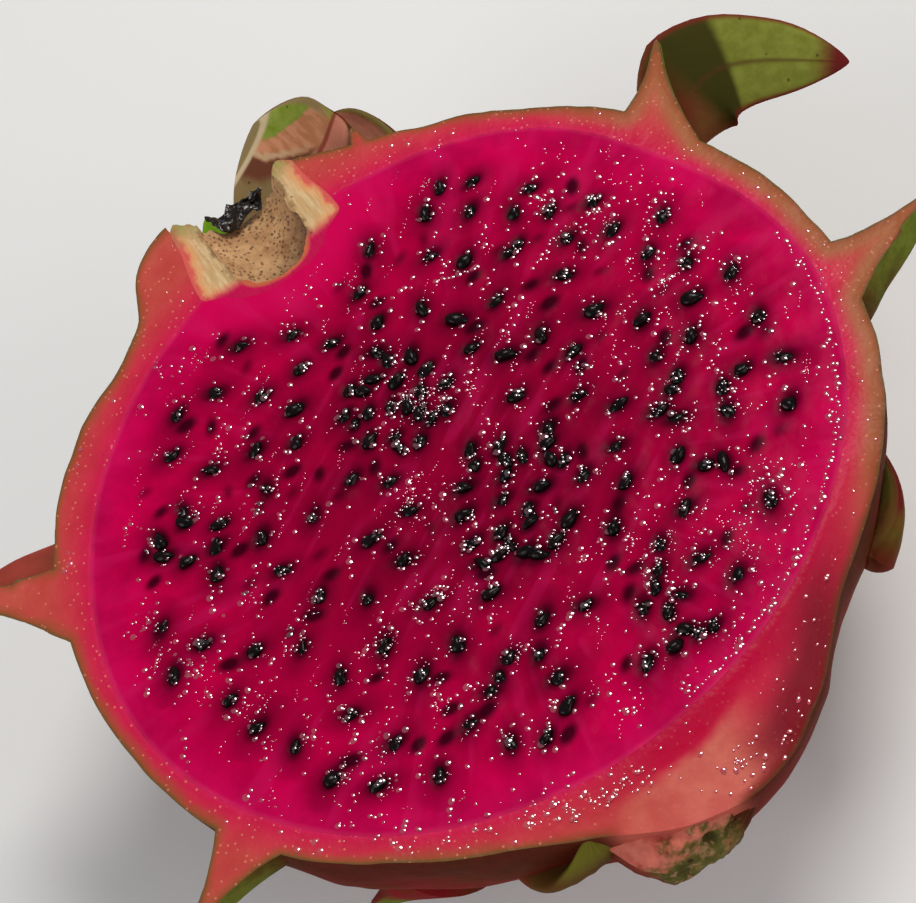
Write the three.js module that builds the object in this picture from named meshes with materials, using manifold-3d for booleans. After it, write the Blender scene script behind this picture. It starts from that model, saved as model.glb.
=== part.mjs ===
// Half of a red-fleshed dragon fruit, cut lengthwise and lying on its rounded back with the cut face up.
// Millimetres. +Z is up, +Y runs from the stem end to the flower end, and +X goes across the fruit.
// The origin is the middle of the small flat spot that the fruit rests on.
// Inside the group the shapes are drawn with the cut face at height 0, and the group is lifted by faceHeight.
import * as THREE from 'three';
import { ParametricGeometry } from 'three/addons/geometries/ParametricGeometry.js';
import { mergeVertices } from 'three/addons/utils/BufferGeometryUtils.js';
import Module from 'manifold-3d';

const wasm = await Module();
wasm.setup();

// Driving dimensions
const faceHeight = 47;          // cut face above the rest spot
const fullDepth = 48.3;         // depth that the round back would have if it were not pressed flat
const rindDepthWall = 4.2;      // thickness of the rind at the bottom
const gap = 0.3;                // clearance between pieces that touch
const outerSegments = 64;       // steps round the fruit
const outerStacks = 12;         // steps from the rim down to the rest spot
const innerStacks = 8;

// Outlines at the cut face, as [plan angle from +X in degrees, radius], smooth between the points
const fleshOutline = [
  [-80, 41], [-50, 42.2], [-25, 45], [0, 47.6], [28, 48], [48, 49.4], [68, 48], [90, 46],
  [117, 46], [150, 46.8], [186, 47.6], [219, 45.2], [250, 42.2],
];
const rindOutline = [
  [-105, 47.4], [-92, 50.6], [-80, 51.4], [-68, 48.8], [-55, 46.2], [-42, 47.4], [-10, 50.4], [20, 51.6],
  [38, 52.8], [60, 52.2], [75, 53.4], [90, 57], [103, 58.8], [109, 56.9], [116, 51.8], [124, 50.6],
  [136, 52], [165, 51], [200, 49.6], [217, 48.8], [234, 46.8],
];

// The knife ran off the level towards the stem, so the rind slopes down and outward there
const slopeMiddle = -72;        // plan angle of the deepest part of the slope
const slopeReach = 52;          // degrees to each side over which it fades out
const slopeDepth = 5.5;

// Flower end: a corky cup, cut in half, whose axis runs along +Y
const cupAxisX = -3.5;
const cupProfile = [
  [0, 38.9], [3.6, 39.2], [6.2, 40.4], [7.6, 42.2], [10.6, 43.6], [10.4, 47], [9.4, 52], [9.2, 56.2],
  [7.6, 57], [6, 56.4], [5.6, 50], [5.3, 44], [4.1, 41.4], [2.2, 40.3], [0, 40],
];
const cupSegments = 28;

// Stem end: a short stump that points along -Y and a little down
const stemBase = new THREE.Vector3(-2, -38, -9);
const stemEnd = new THREE.Vector3(-2, -53, -9.4);
const stemRadius = 5.8;
const stemBreadth = 1.35;       // the stump is wider than it is high

// Seeds: a few dense patches, [x, y, spread, count], and the rest scattered over the face
const seedPatches = [
  [-2, 14, 7, 18], [4, -7, 8, 18], [20, 31, 8, 9], [-31, 13, 5, 6], [-8, -27, 8, 9], [12, -33, 8, 8],
  [28, -12, 8, 8],
];
const scatteredSeeds = 78;
const seedLength = 2.6;
const seedWidth = 1.5;
const seedMargin = 0.87;        // share of the flesh radius that holds seeds
const seedSpacing = 2.9;
const randomStart = 20240607;

// Scales on the back follow one spiral round the fruit
const goldenAngle = 137.508;
const spiralScales = 46;
const spiralStart = -30;
const spiralEnd = 50;

const colours = {
  rind: 0xb4484a,
  flesh: 0xb8004b,
  scar: 0xae8c60,
  remnant: 0x15110f,
};

// Value of an outline at a plan angle, by a smooth periodic curve through its points
function radiusAt(outline, degrees) {
  const count = outline.length;
  const first = outline[0][0];
  const angle = first + THREE.MathUtils.euclideanModulo(degrees - first, 360);
  const knot = (i) => {
    const turn = Math.floor(i / count);
    const [a, r] = outline[i - turn * count];
    return [a + 360 * turn, r];
  };
  let i = 0;
  while (knot(i + 1)[0] <= angle) {
    i += 1;
  }
  const [[a0, r0], [a1, r1], [a2, r2], [a3, r3]] = [knot(i - 1), knot(i), knot(i + 1), knot(i + 2)];
  const span = a2 - a1;
  const t = (angle - a1) / span;
  const slope1 = span * (r2 - r0) / (a2 - a0);
  const slope2 = span * (r3 - r1) / (a3 - a1);
  const h = 3 * t * t - 2 * t * t * t;
  return (1 - h) * r1 + h * r2 + (t * (1 - t) ** 2) * slope1 - (t * t * (1 - t)) * slope2;
}

// Even random numbers from 0 to 1, the same on each run
function randomSource(start) {
  const modulus = 2147483647;
  const factor = 16807;
  let state = start % modulus;
  return () => {
    state = (state * factor) % modulus;
    return state / modulus;
  };
}

// Volume inside closed triangles, below zero where they face inwards
function signedVolume(points, corners) {
  const [a, b, c] = [new THREE.Vector3(), new THREE.Vector3(), new THREE.Vector3()];
  let volume = 0;
  for (let i = 0; i < corners.length; i += 3) {
    a.fromArray(points, 3 * corners[i]);
    b.fromArray(points, 3 * corners[i + 1]);
    c.fromArray(points, 3 * corners[i + 2]);
    volume += a.dot(b.cross(c)) / 6;
  }
  return volume;
}

// Closed geometry to solid: shared points are merged, triangles without area are dropped and all face out
function toSolid(geometry) {
  geometry.deleteAttribute('normal');
  geometry.deleteAttribute('uv');
  const merged = mergeVertices(geometry, 1e-4);
  const corners = merged.index.array;
  const kept = [];
  for (let i = 0; i < corners.length; i += 3) {
    const [a, b, c] = [corners[i], corners[i + 1], corners[i + 2]];
    if (a !== b && b !== c && c !== a) {
      kept.push(a, b, c);
    }
  }
  const vertProperties = Float32Array.from(merged.attributes.position.array);
  const triVerts = Uint32Array.from(signedVolume(vertProperties, kept) > 0 ? kept : kept.reverse());
  return new wasm.Manifold(new wasm.Mesh({ numProp: 3, vertProperties, triVerts }));
}

function toMesh(solid, name, colour, roughness) {
  const { vertProperties, triVerts } = solid.getMesh();
  const geometry = new THREE.BufferGeometry();
  geometry.setAttribute('position', new THREE.BufferAttribute(vertProperties, 3));
  geometry.setIndex(new THREE.BufferAttribute(triVerts, 1));
  geometry.computeVertexNormals();
  const material = new THREE.MeshStandardMaterial({ color: colour, roughness, metalness: 0 });
  const mesh = new THREE.Mesh(geometry, material);
  mesh.name = name;
  return mesh;
}

// Keep the biggest body where a cut leaves loose scraps
function biggestBody(solid) {
  const bodies = solid.decompose();
  bodies.sort((a, b) => b.volume() - a.volume());
  return bodies[0];
}

// Half bowl with a level top: rings shrink by the cosine and sink by the sine from the rim to the bottom
function bowlSolid(outline, spread, depth, floorDepth, stacks, rise) {
  const flatStart = Math.asin(Math.min(1, floorDepth / depth));
  const surface = (u, v, target) => {
    const row = Math.round(v * (stacks + 2));
    const degrees = 360 * (u % 1);
    const full = radiusAt(outline, degrees) + spread;
    const angle = THREE.MathUtils.degToRad(degrees);
    let radius = 0;
    let height = rise;
    if (row === 1) {
      radius = full;
    } else if (row > 1 && row < stacks + 2) {
      const t = flatStart * (row - 2) / (stacks - 1);
      radius = full * Math.cos(t);
      height = -depth * Math.sin(t);
    } else if (row === stacks + 2) {
      height = -floorDepth;
    }
    target.set(radius * Math.cos(angle), radius * Math.sin(angle), height);
  };
  return toSolid(new ParametricGeometry(surface, outerSegments, stacks + 2));
}

// How far the knife dips below the level at a plan angle
function slopeAt(degrees) {
  const away = Math.abs(THREE.MathUtils.euclideanModulo(degrees - slopeMiddle + 180, 360) - 180);
  return away < slopeReach ? slopeDepth * (0.5 + 0.5 * Math.cos(Math.PI * away / slopeReach)) : 0;
}

// Everything that the knife took away: level over the flesh, dipping over the rind at the stem end
function removedHalf() {
  const reach = 95;
  const top = 40;
  const surface = (u, v, target) => {
    const row = Math.round(v * 6);
    const degrees = 360 * (u % 1);
    const flesh = radiusAt(fleshOutline, degrees);
    const rind = radiusAt(rindOutline, degrees);
    const radii = [0, reach, reach, rind, flesh + gap + 0.5, flesh * 0.5, 0];
    const dip = -slopeAt(degrees);
    const heights = [top, top, dip, dip, 0, 0, 0];
    const angle = THREE.MathUtils.degToRad(degrees);
    target.set(radii[row] * Math.cos(angle), radii[row] * Math.sin(angle), heights[row]);
  };
  return toSolid(new ParametricGeometry(surface, outerSegments, 6));
}

// Solid of revolution round the cup's axis, from [radius, y] pairs
function turnedAlongY(profile) {
  const points = profile.map(([radius, y]) => new THREE.Vector2(radius, y));
  const geometry = new THREE.LatheGeometry(points, cupSegments);
  geometry.translate(cupAxisX, 0, 0);
  return toSolid(geometry);
}

// The bed that the cup sits in: its outer profile, grown by the gap and run out past the mouth
function cupBed() {
  const mouth = 8;
  const outer = cupProfile.slice(0, mouth).map(([radius, y]) => [radius > 0 ? radius + gap : 0, y - gap]);
  const [rimRadius] = outer[mouth - 1];
  return turnedAlongY([...outer, [rimRadius, 70], [0, 70]]);
}

// Leaf-like scale: an oval section carried along a bent line, thick and sunk at the root, thin at the tip.
// neck is the share of the width that the root has, taper is how early the blade narrows towards its tip
function scaleSolid({ line, side, width, root, cup = 0, blade = 1.3, neck = 1, taper = 0.8 }) {
  const curve = new THREE.CubicBezierCurve3(...line);
  const rings = 8;
  const sectionSteps = 10;
  const surface = (u, v, target) => {
    const s = v;
    const point = curve.getPoint(s);
    const tangent = curve.getTangent(Math.min(0.999, Math.max(0.001, s)));
    const across = side[0].clone().lerp(side[1], s);
    across.addScaledVector(tangent, -across.dot(tangent)).normalize();
    const normal = new THREE.Vector3().crossVectors(across, tangent).normalize();
    const closed = Math.sqrt(Math.min(1, 9 * s)) * Math.sqrt(Math.min(1, 9 * (1 - s)));
    const spread = neck + (1 - neck) * Math.min(1, 3 * s);
    const halfWidth = closed * spread * width / 2 * (0.12 + 0.88 * (1 - s) ** taper);
    const halfThickness = closed / 2 * (blade + (root - blade) * (1 - s) ** 2.2);
    const turn = 2 * Math.PI * (u % 1);
    const sideways = halfWidth * Math.cos(turn);
    const bow = cup * (sideways / (width / 2)) ** 2;
    target.copy(point);
    target.addScaledVector(across, sideways);
    target.addScaledVector(normal, halfThickness * Math.sin(turn) + bow);
  };
  return toSolid(new ParametricGeometry(surface, sectionSteps, rings));
}

const at = (x, y, z) => new THREE.Vector3(x, y, z);

// Scales that the cut runs through or that stand at its edge, placed as on the fruit
function rimScales() {
  const upright = [at(0, 0, 1), at(0, 0, 1)];
  return [
    // right side, cut through its middle
    {
      line: [at(42, -6, -1), at(50, -6, -1), at(56, -5, -1), at(64, -4, -1)],
      side: [at(0, 0.4, 0.9), at(0, 0.4, 0.9)],
      width: 18,
      root: 19,
    },
    // left side, towards the flower end, its hidden half leaning to the flower end
    {
      line: [at(-40, 16, -1), at(-47, 18.5, -1), at(-51, 22, -1), at(-57, 27, -1)],
      side: [at(0.1, -0.93, 0.36), at(0.1, -0.93, 0.36)],
      width: 31,
      root: 12,
      taper: 0.5,
    },
    // left side, towards the stem
    {
      line: [at(-37, -20, -1), at(-44, -24, -1), at(-49, -26, -1), at(-55, -30, -1)],
      side: upright,
      width: 15,
      root: 19,
    },
    // upper right, the cut root
    {
      line: [at(39, 22, -1), at(45, 28, -1), at(48.5, 33, -1), at(52, 38.5, -1)],
      side: upright,
      width: 13,
      root: 21,
    },
    // upper right, the whole blade that rolls outward
    {
      line: [at(43, 27, -8), at(55, 38.5, -5.5), at(59, 33.5, -5.5), at(69.5, 22.5, -6)],
      side: [at(0.5, 0.72, 0.47), at(0.56, 0.68, 0.47)],
      width: 19,
      root: 5,
      cup: -1.2,
      neck: 0.35,
      taper: 0.55,
    },
    // flower end, right of the cup
    {
      line: [at(6, 46, -12), at(7.5, 56, -14), at(7.5, 63, -12.5), at(5, 71, -8)],
      side: [at(0.8, 0, 0.6), at(0.8, 0, 0.6)],
      width: 31,
      root: 8,
      cup: 7,
      taper: 0.3,
    },
    // flower end, further round to the right
    {
      line: [at(13, 42, -8), at(15.2, 50, -9), at(15.5, 56.5, -8), at(12.8, 63.5, -6.5)],
      side: [at(0.8, -0.1, 0.55), at(0.8, -0.1, 0.55)],
      width: 17,
      root: 8,
      cup: 3,
      taper: 0.5,
    },
    // flower end, under the cup
    {
      line: [at(-7, 46, -14), at(-8, 53, -16), at(-8, 58, -14.5), at(-7.5, 64, -10.5)],
      side: [at(1, 0, -0.2), at(1, 0, -0.2)],
      width: 16,
      root: 8,
      cup: 2,
    },
    // stem end, beside the stump
    {
      line: [at(-13, -36, -19), at(-14, -43, -14), at(-13.5, -46.4, -9), at(-12, -45.6, -2)],
      side: [at(1, 0, 0), at(1, 0, 0)],
      width: 17,
      root: 8,
    },
    // right side near the stem, pressed flat below the cut
    {
      line: [at(32, -30, -17), at(37.6, -29.4, -15), at(39.8, -26, -13.5), at(41.4, -20, -12)],
      side: [at(0.35, -0.3, 0.88), at(0.35, -0.3, 0.88)],
      width: 15,
      root: 8,
    },
  ];
}

// Point of the outer surface in a direction from the middle of the face
function surfacePoint(direction) {
  const degrees = THREE.MathUtils.radToDeg(Math.atan2(direction.y, direction.x));
  const full = radiusAt(rindOutline, degrees);
  const level = Math.hypot(direction.x, direction.y);
  const t = Math.atan2(-direction.z * full, fullDepth * level);
  const angle = THREE.MathUtils.degToRad(degrees);
  const radius = full * Math.cos(t);
  return at(radius * Math.cos(angle), radius * Math.sin(angle), -fullDepth * Math.sin(t));
}

// Scales on the back, one for each step of the spiral that falls below the cut and clear of the rest spot
function spiralScaleList() {
  const list = [];
  for (let i = 0; i < spiralScales; i += 1) {
    const along = spiralStart + (spiralEnd - spiralStart) * i / (spiralScales - 1);
    const turn = THREE.MathUtils.degToRad(i * goldenAngle);
    const girth = Math.sqrt(Math.max(0.04, 1 - (along / 60) ** 2));
    const direction = at(girth * Math.cos(turn), along / 50, -girth * Math.sin(turn));
    const belowCut = Math.atan2(-direction.z, Math.hypot(direction.x, direction.y));
    if (belowCut < 0.5 || belowCut > 1.08) {
      continue;
    }
    const foot = surfacePoint(direction);
    const normal = foot.clone().normalize();
    const forward = at(0, 1, 0).addScaledVector(normal, -normal.y).normalize();
    const across = new THREE.Vector3().crossVectors(forward, normal);
    const lift = 8.5 - 6 * (belowCut - 0.5) / 0.58;
    const step = (out, ahead) => foot.clone().addScaledVector(normal, out).addScaledVector(forward, ahead);
    list.push({
      line: [step(-4, -5), step(1, -1), step(lift * 0.5, 5), step(lift, 9)],
      side: [across, across],
      width: 17,
      root: 11,
    });
  }
  return list;
}

function stemStump() {
  const steps = 6;
  const sides = 14;
  const axis = stemEnd.clone().sub(stemBase).normalize();
  const across = at(1, 0, 0).addScaledVector(axis, -axis.x).normalize();
  const up = new THREE.Vector3().crossVectors(axis, across);
  const rows = [[0, 0], [0, 1.5], [0.35, 1.25], [0.7, 1.04], [0.9, 0.84], [1, 0.5], [0.99, 0]];
  const surface = (u, v, target) => {
    const [along, share] = rows[Math.round(v * steps)];
    const turn = 2 * Math.PI * (u % 1);
    const radius = stemRadius * share * (1 + 0.07 * Math.cos(5 * turn));
    target.copy(stemBase).lerp(stemEnd, along);
    target.addScaledVector(across, stemBreadth * radius * Math.cos(turn));
    target.addScaledVector(up, radius * Math.sin(turn));
  };
  return toSolid(new ParametricGeometry(surface, sides, steps));
}

// Seed places: first the dense patches and then the scattered ones, none closer than seedSpacing
function seedPlaces() {
  const random = randomSource(randomStart);
  const places = [];
  const tryPlace = (x, y, spacing) => {
    const radius = Math.hypot(x, y);
    const degrees = THREE.MathUtils.radToDeg(Math.atan2(y, x));
    const inside = radius < seedMargin * radiusAt(fleshOutline, degrees);
    const clearOfCup = Math.hypot((x - cupAxisX) / 13, (y - 48) / 14) > 1;
    const clearOfOthers = places.every((p) => Math.hypot(p.x - x, p.y - y) > spacing);
    if (inside && clearOfCup && clearOfOthers) {
      places.push({ x, y, turn: 0.35 + 1.6 * (random() - 0.5), size: 0.9 + 0.25 * random() });
      return true;
    }
    return false;
  };
  for (const [x, y, spread, count] of seedPatches) {
    let found = 0;
    for (let tries = 0; tries < 400 && found < count; tries += 1) {
      const away = spread * Math.sqrt(random());
      const turn = 2 * Math.PI * random();
      found += tryPlace(x + away * Math.cos(turn), y + away * Math.sin(turn), seedSpacing) ? 1 : 0;
    }
  }
  let found = 0;
  for (let tries = 0; tries < 4000 && found < scatteredSeeds; tries += 1) {
    const x = 96 * (random() - 0.5);
    const y = 96 * (random() - 0.5);
    found += tryPlace(x, y, 1.6 * seedSpacing) ? 1 : 0;
  }
  return places;
}

function seedSolid({ x, y, turn, size }) {
  const geometry = new THREE.SphereGeometry(1, 6, 4);
  geometry.rotateX(Math.PI / 2);
  const position = geometry.attributes.position;
  for (let i = 0; i < position.count; i += 1) {
    const taper = 1 - 0.35 * position.getX(i);
    position.setY(i, position.getY(i) * taper);
  }
  geometry.scale(size * seedLength / 2, size * seedWidth / 2, 0.75 * size);
  geometry.rotateZ(turn);
  geometry.translate(x, y, -0.03);
  return toSolid(geometry);
}

function rind() {
  let body = bowlSolid(rindOutline, 0, fullDepth, faceHeight, outerStacks, 2);
  for (const scale of [...rimScales(), ...spiralScaleList()]) {
    body = body.add(scaleSolid(scale));
  }
  body = body.add(stemStump());
  const pulpSpace = bowlSolid(fleshOutline, gap, faceHeight - rindDepthWall + gap, 60, innerStacks, 3);
  return biggestBody(body.subtract(pulpSpace).subtract(removedHalf()).subtract(cupBed()));
}

function flesh() {
  let body = bowlSolid(fleshOutline, 0, faceHeight - rindDepthWall, 60, innerStacks, 0);
  body = body.subtract(cupBed());
  for (const place of seedPlaces()) {
    body = body.add(seedSolid(place));
  }
  return biggestBody(body);
}

function flowerScar() {
  return biggestBody(turnedAlongY(cupProfile).subtract(removedHalf()));
}

// Withered black scrap of the flower, lying in the cup near its mouth
function flowerRemnant() {
  return scaleSolid({
    line: [at(-7.6, 56, -2.6), at(-5.6, 56.6, -5.4), at(-1.6, 56.2, -5.4), at(0.6, 57, -2.8)],
    side: [at(0, 1, 0), at(0, 1, 0)],
    width: 3.6,
    root: 1.4,
    blade: 1.1,
  });
}

const fruit = new THREE.Group();
fruit.add(toMesh(rind(), 'rind', colours.rind, 0.45));
fruit.add(toMesh(flesh(), 'flesh', colours.flesh, 0.25));
fruit.add(toMesh(flowerScar(), 'flower_scar', colours.scar, 0.85));
fruit.add(toMesh(flowerRemnant(), 'flower_remnant', colours.remnant, 0.35));
fruit.position.z = faceHeight;

const group = new THREE.Group();
group.add(fruit);

export default group;
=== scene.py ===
"""Half of a red-fleshed dragon fruit, cut lengthwise and lying on its rounded back with the cut face up.

Shapes are worked out in millimetres in the fruit's own frame: the cut face is at height 0, +Y runs from
the stem end to the flower end and +X goes across. Meshes are stored in metres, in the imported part's frame.
"""

import math

import bpy
import numpy as np
from mathutils import Matrix, Vector


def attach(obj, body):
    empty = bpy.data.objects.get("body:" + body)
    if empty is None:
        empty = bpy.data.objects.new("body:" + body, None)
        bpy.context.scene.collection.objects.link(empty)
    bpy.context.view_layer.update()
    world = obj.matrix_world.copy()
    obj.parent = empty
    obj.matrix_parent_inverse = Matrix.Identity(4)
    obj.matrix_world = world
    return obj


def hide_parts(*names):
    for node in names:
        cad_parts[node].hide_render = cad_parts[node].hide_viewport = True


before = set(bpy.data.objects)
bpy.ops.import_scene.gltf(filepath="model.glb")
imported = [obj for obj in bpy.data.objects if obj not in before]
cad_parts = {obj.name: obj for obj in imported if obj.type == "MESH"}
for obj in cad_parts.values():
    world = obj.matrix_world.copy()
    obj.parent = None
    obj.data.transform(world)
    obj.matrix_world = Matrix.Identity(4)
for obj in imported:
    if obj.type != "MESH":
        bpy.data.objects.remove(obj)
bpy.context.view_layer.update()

# Driving dimensions in millimetres
MM = 0.001
FACE_HEIGHT = 47.0        # cut face above the rest spot
LIFT = np.array([0, 0, FACE_HEIGHT])
FULL_DEPTH = 48.3         # depth that the round back would have if it were not pressed flat
FLESH_DEPTH = 42.8
FLESH_GAP = 0.02          # between the sides of the flesh and the rind
BOTTOM_GAP = 0.3          # between the bottom of the flesh and the rind
CUP_GAP = 0.02            # between the cup and what it sits in
CUT_DROP = 0.1            # how far the middle of the moist grain lies below the level of the cut
FULL_TURN = 2 * math.pi

# Steps round each form
RIND_STEPS = 400
KNIFE_STEPS = 560
FLESH_STEPS = 460
CUP_STEPS = 128
STUMP_STEPS = 96

# Lumps as (height, size, start of the random numbers), one for each layer
CUT_GRAIN = [(0.14, 3.1, 11), (0.07, 1.1, 12)]
SKIN_LUMPS = [(0.35, 9, 41), (0.16, 3.2, 42)]
FLESH_WAVES = [(0.16, 8, 61), (0.09, 2.6, 62), (0.05, 1.1, 63)]
CUP_ROUGHNESS = [(0.4, 2.2, 91), (0.28, 0.8, 92)]
STUMP_SWELL = [(0.5, 4, 31)]
STUMP_CORK = [(0.3, 1.7, 33), (0.15, 0.8, 34)]
STUMP_END_ROUGHNESS = [(0.4, 2.3, 32), (0.25, 1.0, 35)]

# Outlines at the cut face, as (plan angle from +X in degrees, radius), smooth between the points
FLESH_OUTLINE = [
    (-80, 41), (-50, 42.2), (-25, 45), (0, 47.6), (28, 48), (48, 49.4), (68, 48), (90, 46),
    (117, 46), (150, 46.8), (186, 47.6), (219, 45.2), (250, 42.2),
]
RIND_OUTLINE = [
    (-105, 47.4), (-92, 50.6), (-80, 51.4), (-68, 48.8), (-55, 46.2), (-42, 47.4), (-10, 50.4), (20, 51.6),
    (38, 52.8), (60, 52.2), (75, 53.4), (90, 57), (103, 58.8), (109, 56.9), (116, 51.8), (124, 50.6),
    (136, 52), (165, 51), (200, 49.6), (217, 48.8), (234, 46.8),
]

# The knife ran off the level towards the stem
SLOPE_MIDDLE = -72.0      # plan angle
SLOPE_REACH = 52.0        # degrees to each side
SLOPE_DEPTH = 5.5
SLOPE_START = 0.8         # outside the flesh outline
SLOPE_FOLDS = 0.45        # height of its broad folds

# Stretches of the cut rind with a tint of their own, as plan angles: it rises between the first two and
# falls between the last two
DEEP_RED_STRETCH = (-85, -76, -62, -48)
SALMON_STRETCH = (-106, -97, -84, -74)
TAN_STRETCH = (-50, -32, 30, 52)

# Corky cup at the flower end, as (radius, y) pairs round an axis along +Y
CUP_AXIS_X = -3.5
CUP_PROFILE = [
    (0, 38.9), (3.6, 39.2), (6.2, 40.4), (7.6, 42.2), (10.6, 43.6), (10.4, 47), (9.4, 52), (9.2, 56.2),
    (7.6, 57), (6, 56.4), (5.6, 50), (5.3, 44), (4.1, 41.4), (2.2, 40.3), (0, 40),
]
CUP_SIDE_END = CUP_PROFILE[7][1]
CUP_PROFILE_STEPS = 110
CUP_BED_END = 70.0        # y at which its bed ends, past the rind

# Ovals round the cup, as (half width, half length, y of the middle)
CLEAR_OF_SEEDS = (13, 14, 48)
CLEAR_OF_JUICE = (12, 10.5, 48)
CUP_GLOW = (10.5, 9, 47)

# Stem stump
STEM_BASE = (-2.0, -38.0, -9.0)
STEM_END = (-2.0, -53.0, -9.4)
STEM_RADIUS = 5.8
STEM_BREADTH = 1.35       # its width over its height
STEM_PITS = [(3.4, 1.6), (0.6, 2.9)]      # across and up from the middle of the end face
STEM_ROWS = [(0, 1.5), (0.35, 1.25), (0.7, 1.04), (0.9, 0.84), (1, 0.5)]      # share along, share of radius
STUMP_TINT = (-4.0, -51.0, 8.0, 6.0)      # middle and half sides of the oval where the rind takes its colour

# Seeds: dense patches as (x, y, spread, count), then scattered ones
SEED_PATCHES = [
    (-2, 14, 7, 18), (4, -7, 8, 18), (20, 31, 8, 9), (-31, 13, 5, 6), (-8, -27, 8, 9), (12, -33, 8, 8),
    (28, -12, 8, 8),
]
SCATTERED_SEEDS = 78
SUNK_SEEDS = 84           # just under the surface, where only their shade shows
COMPANION_SHARE = 0.42    # of the seeds in patches that have another one against them
COMPANION_GAP = (1.6, 2.3)
SEED_LENGTH = 2.6
SEED_WIDTH = 1.5
SEED_HEIGHT = 1.5
SEED_LEVELS = (-0.62, -0.05)      # heights between which its middle lies
SEED_MARGIN = 0.87        # share of the flesh's radius that holds seeds
SEED_SPACING = 2.9
RANDOM_START = 20240607
FIELD = 96.0              # side of the square in which places are drawn
PATCH_TRIES = 400
SCATTER_TRIES = 4000

# Juice: clusters on the flesh as (middle, spread), and beads on the rind as (plan angle, spread in degrees,
# nearest and farthest share of the way from the flesh to the skin, count)
JUICE_CLUSTERS = [
    ((6, 10), 2.2), ((1, 12), 1.6), ((-7, 0), 2.5), ((-9, -12), 2.5), ((8, -18), 3), ((14, -24), 2.5),
    ((21, -27), 2.0), ((27, -23), 2.5), ((33, 8), 3), ((36, 20), 3), ((20, 4), 3), ((-22, -16), 3),
    ((-34, -6), 3.5), ((-28, -26), 3.5),
]
JUICE_ON_RIND = [
    (-81, 4, 0.55, 0.95, 34), (-72, 5, 0.5, 0.9, 16), (-62, 5, 0.35, 0.6, 10), (-104, 7, 0.1, 0.5, 70),
    (-120, 14, 0.1, 0.8, 26), (-20, 20, 0.3, 0.8, 10), (110, 60, 0.2, 0.8, 26),
]
CHAINS = 420              # rows of beads that are drawn, of which about a third are left out
LONE_BEADS = 420
BEADS_IN_CLUSTER = 22
SPECKS_IN_CLUSTER = 44
SPECKS_AT_SEED = 4
STREAKS = 240
SPECKS_IN_STREAK = 5
FIBRE_LEAN = 0.7          # radians from +X in which chains and streaks run
BEAD_SIZES = [0.14, 0.2, 0.27, 0.36, 0.46]
BEAD_SHARES = [0.26, 0.3, 0.24, 0.15, 0.05]
SPECK_SIZES = (0.07, 0.13)
BEAD_SIDES = 8
SPECK_SIDES = 6
BEAD_HEIGHT = 0.2         # share of its size

# Scales on the back follow one spiral
GOLDEN_ANGLE = 137.508
SPIRAL_SCALES = 46
SPIRAL_START = -30.0      # y of its first and last step
SPIRAL_END = 50.0
SPIRAL_HIGHEST = 0.5      # radians below the cut, between which a step holds a scale
SPIRAL_LOWEST = 1.08
SCALE_RINGS = 30
SCALE_SIDES = 44
SCALE_RIBS = 16
RIB_HEIGHT = 0.07
MARGIN_WAVE = 0.06        # share of the half width
RIPPLE_HEIGHT = 0.35      # towards the tip and the margins
NUMBER_STEP = 64          # the number map holds a scale's number, from 1, divided by this

UPRIGHT = ((0, 0, 1), (0, 0, 1))
RIM_SCALES = [
    # right side, cut through its middle
    dict(line=[(42, -6, -1), (50, -6, -1), (56, -5, -1), (64, -4, -1)],
         side=((0, 0.4, 0.9), (0, 0.4, 0.9)), width=18, root=19),
    # left side, towards the flower end
    dict(line=[(-40, 16, -1), (-47, 18.5, -1), (-51, 22, -1), (-57, 27, -1)],
         side=((0.1, -0.93, 0.36), (0.1, -0.93, 0.36)), width=31, root=12, taper=0.5),
    # left side, towards the stem
    dict(line=[(-37, -20, -1), (-44, -24, -1), (-49, -26, -1), (-55, -30, -1)],
         side=UPRIGHT, width=15, root=19),
    # upper right, the cut root
    dict(line=[(39, 22, -1), (45, 28, -1), (48.5, 33, -1), (52, 38.5, -1)],
         side=UPRIGHT, width=13, root=21),
    # upper right, the whole blade that rolls outward
    dict(line=[(43, 27, -8), (55, 38.5, -5.5), (59, 33.5, -5.5), (69.5, 22.5, -6)],
         side=((0.5, 0.72, 0.47), (0.56, 0.68, 0.47)), width=19, root=5, cup=-1.2, neck=0.35, taper=0.55),
    # flower end, right of the cup
    dict(line=[(6, 46, -12), (7.5, 56, -14), (7.5, 63, -12.5), (5, 71, -8)],
         side=((0.8, 0, 0.6), (0.8, 0, 0.6)), width=31, root=8, cup=7, taper=0.3),
    # flower end, further round to the right
    dict(line=[(13, 42, -8), (15.2, 50, -9), (15.5, 56.5, -8), (12.8, 63.5, -6.5)],
         side=((0.8, -0.1, 0.55), (0.8, -0.1, 0.55)), width=17, root=8, cup=3, taper=0.5),
    # flower end, under the cup
    dict(line=[(-7, 46, -14), (-8, 53, -16), (-8, 58, -14.5), (-7.5, 64, -10.5)],
         side=((1, 0, -0.2), (1, 0, -0.2)), width=16, root=8, cup=2),
    # stem end, beside the stump
    dict(line=[(-13, -36, -19), (-14, -43, -14), (-13.5, -46.4, -9), (-12, -45.6, -2)],
         side=((1, 0, 0), (1, 0, 0)), width=17, root=8),
    # right side near the stem, pressed flat below the cut
    dict(line=[(32, -30, -17), (37.6, -29.4, -15), (39.8, -26, -13.5), (41.4, -20, -12)],
         side=((0.35, -0.3, 0.88), (0.35, -0.3, 0.88)), width=15, root=8),
]

# Places in the list above, and numbers past its end for the stump and the withered scrap
LEFT_SPUR = 1
BLADE = 4
BRACT = 5
SECOND_BRACT = 6
LOW_BRACT = 7
STUMP_BRACT = 8
STUMP = 59
REMNANT = 90

# Withered scrap in the mouth of the cup
REMNANT_LINE = [(-7.6, 56, -2.6), (-5.6, 56.6, -5.4), (-1.6, 56.2, -5.4), (0.6, 57, -2.8)]
REMNANT_WIDTH = 3.4

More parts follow.
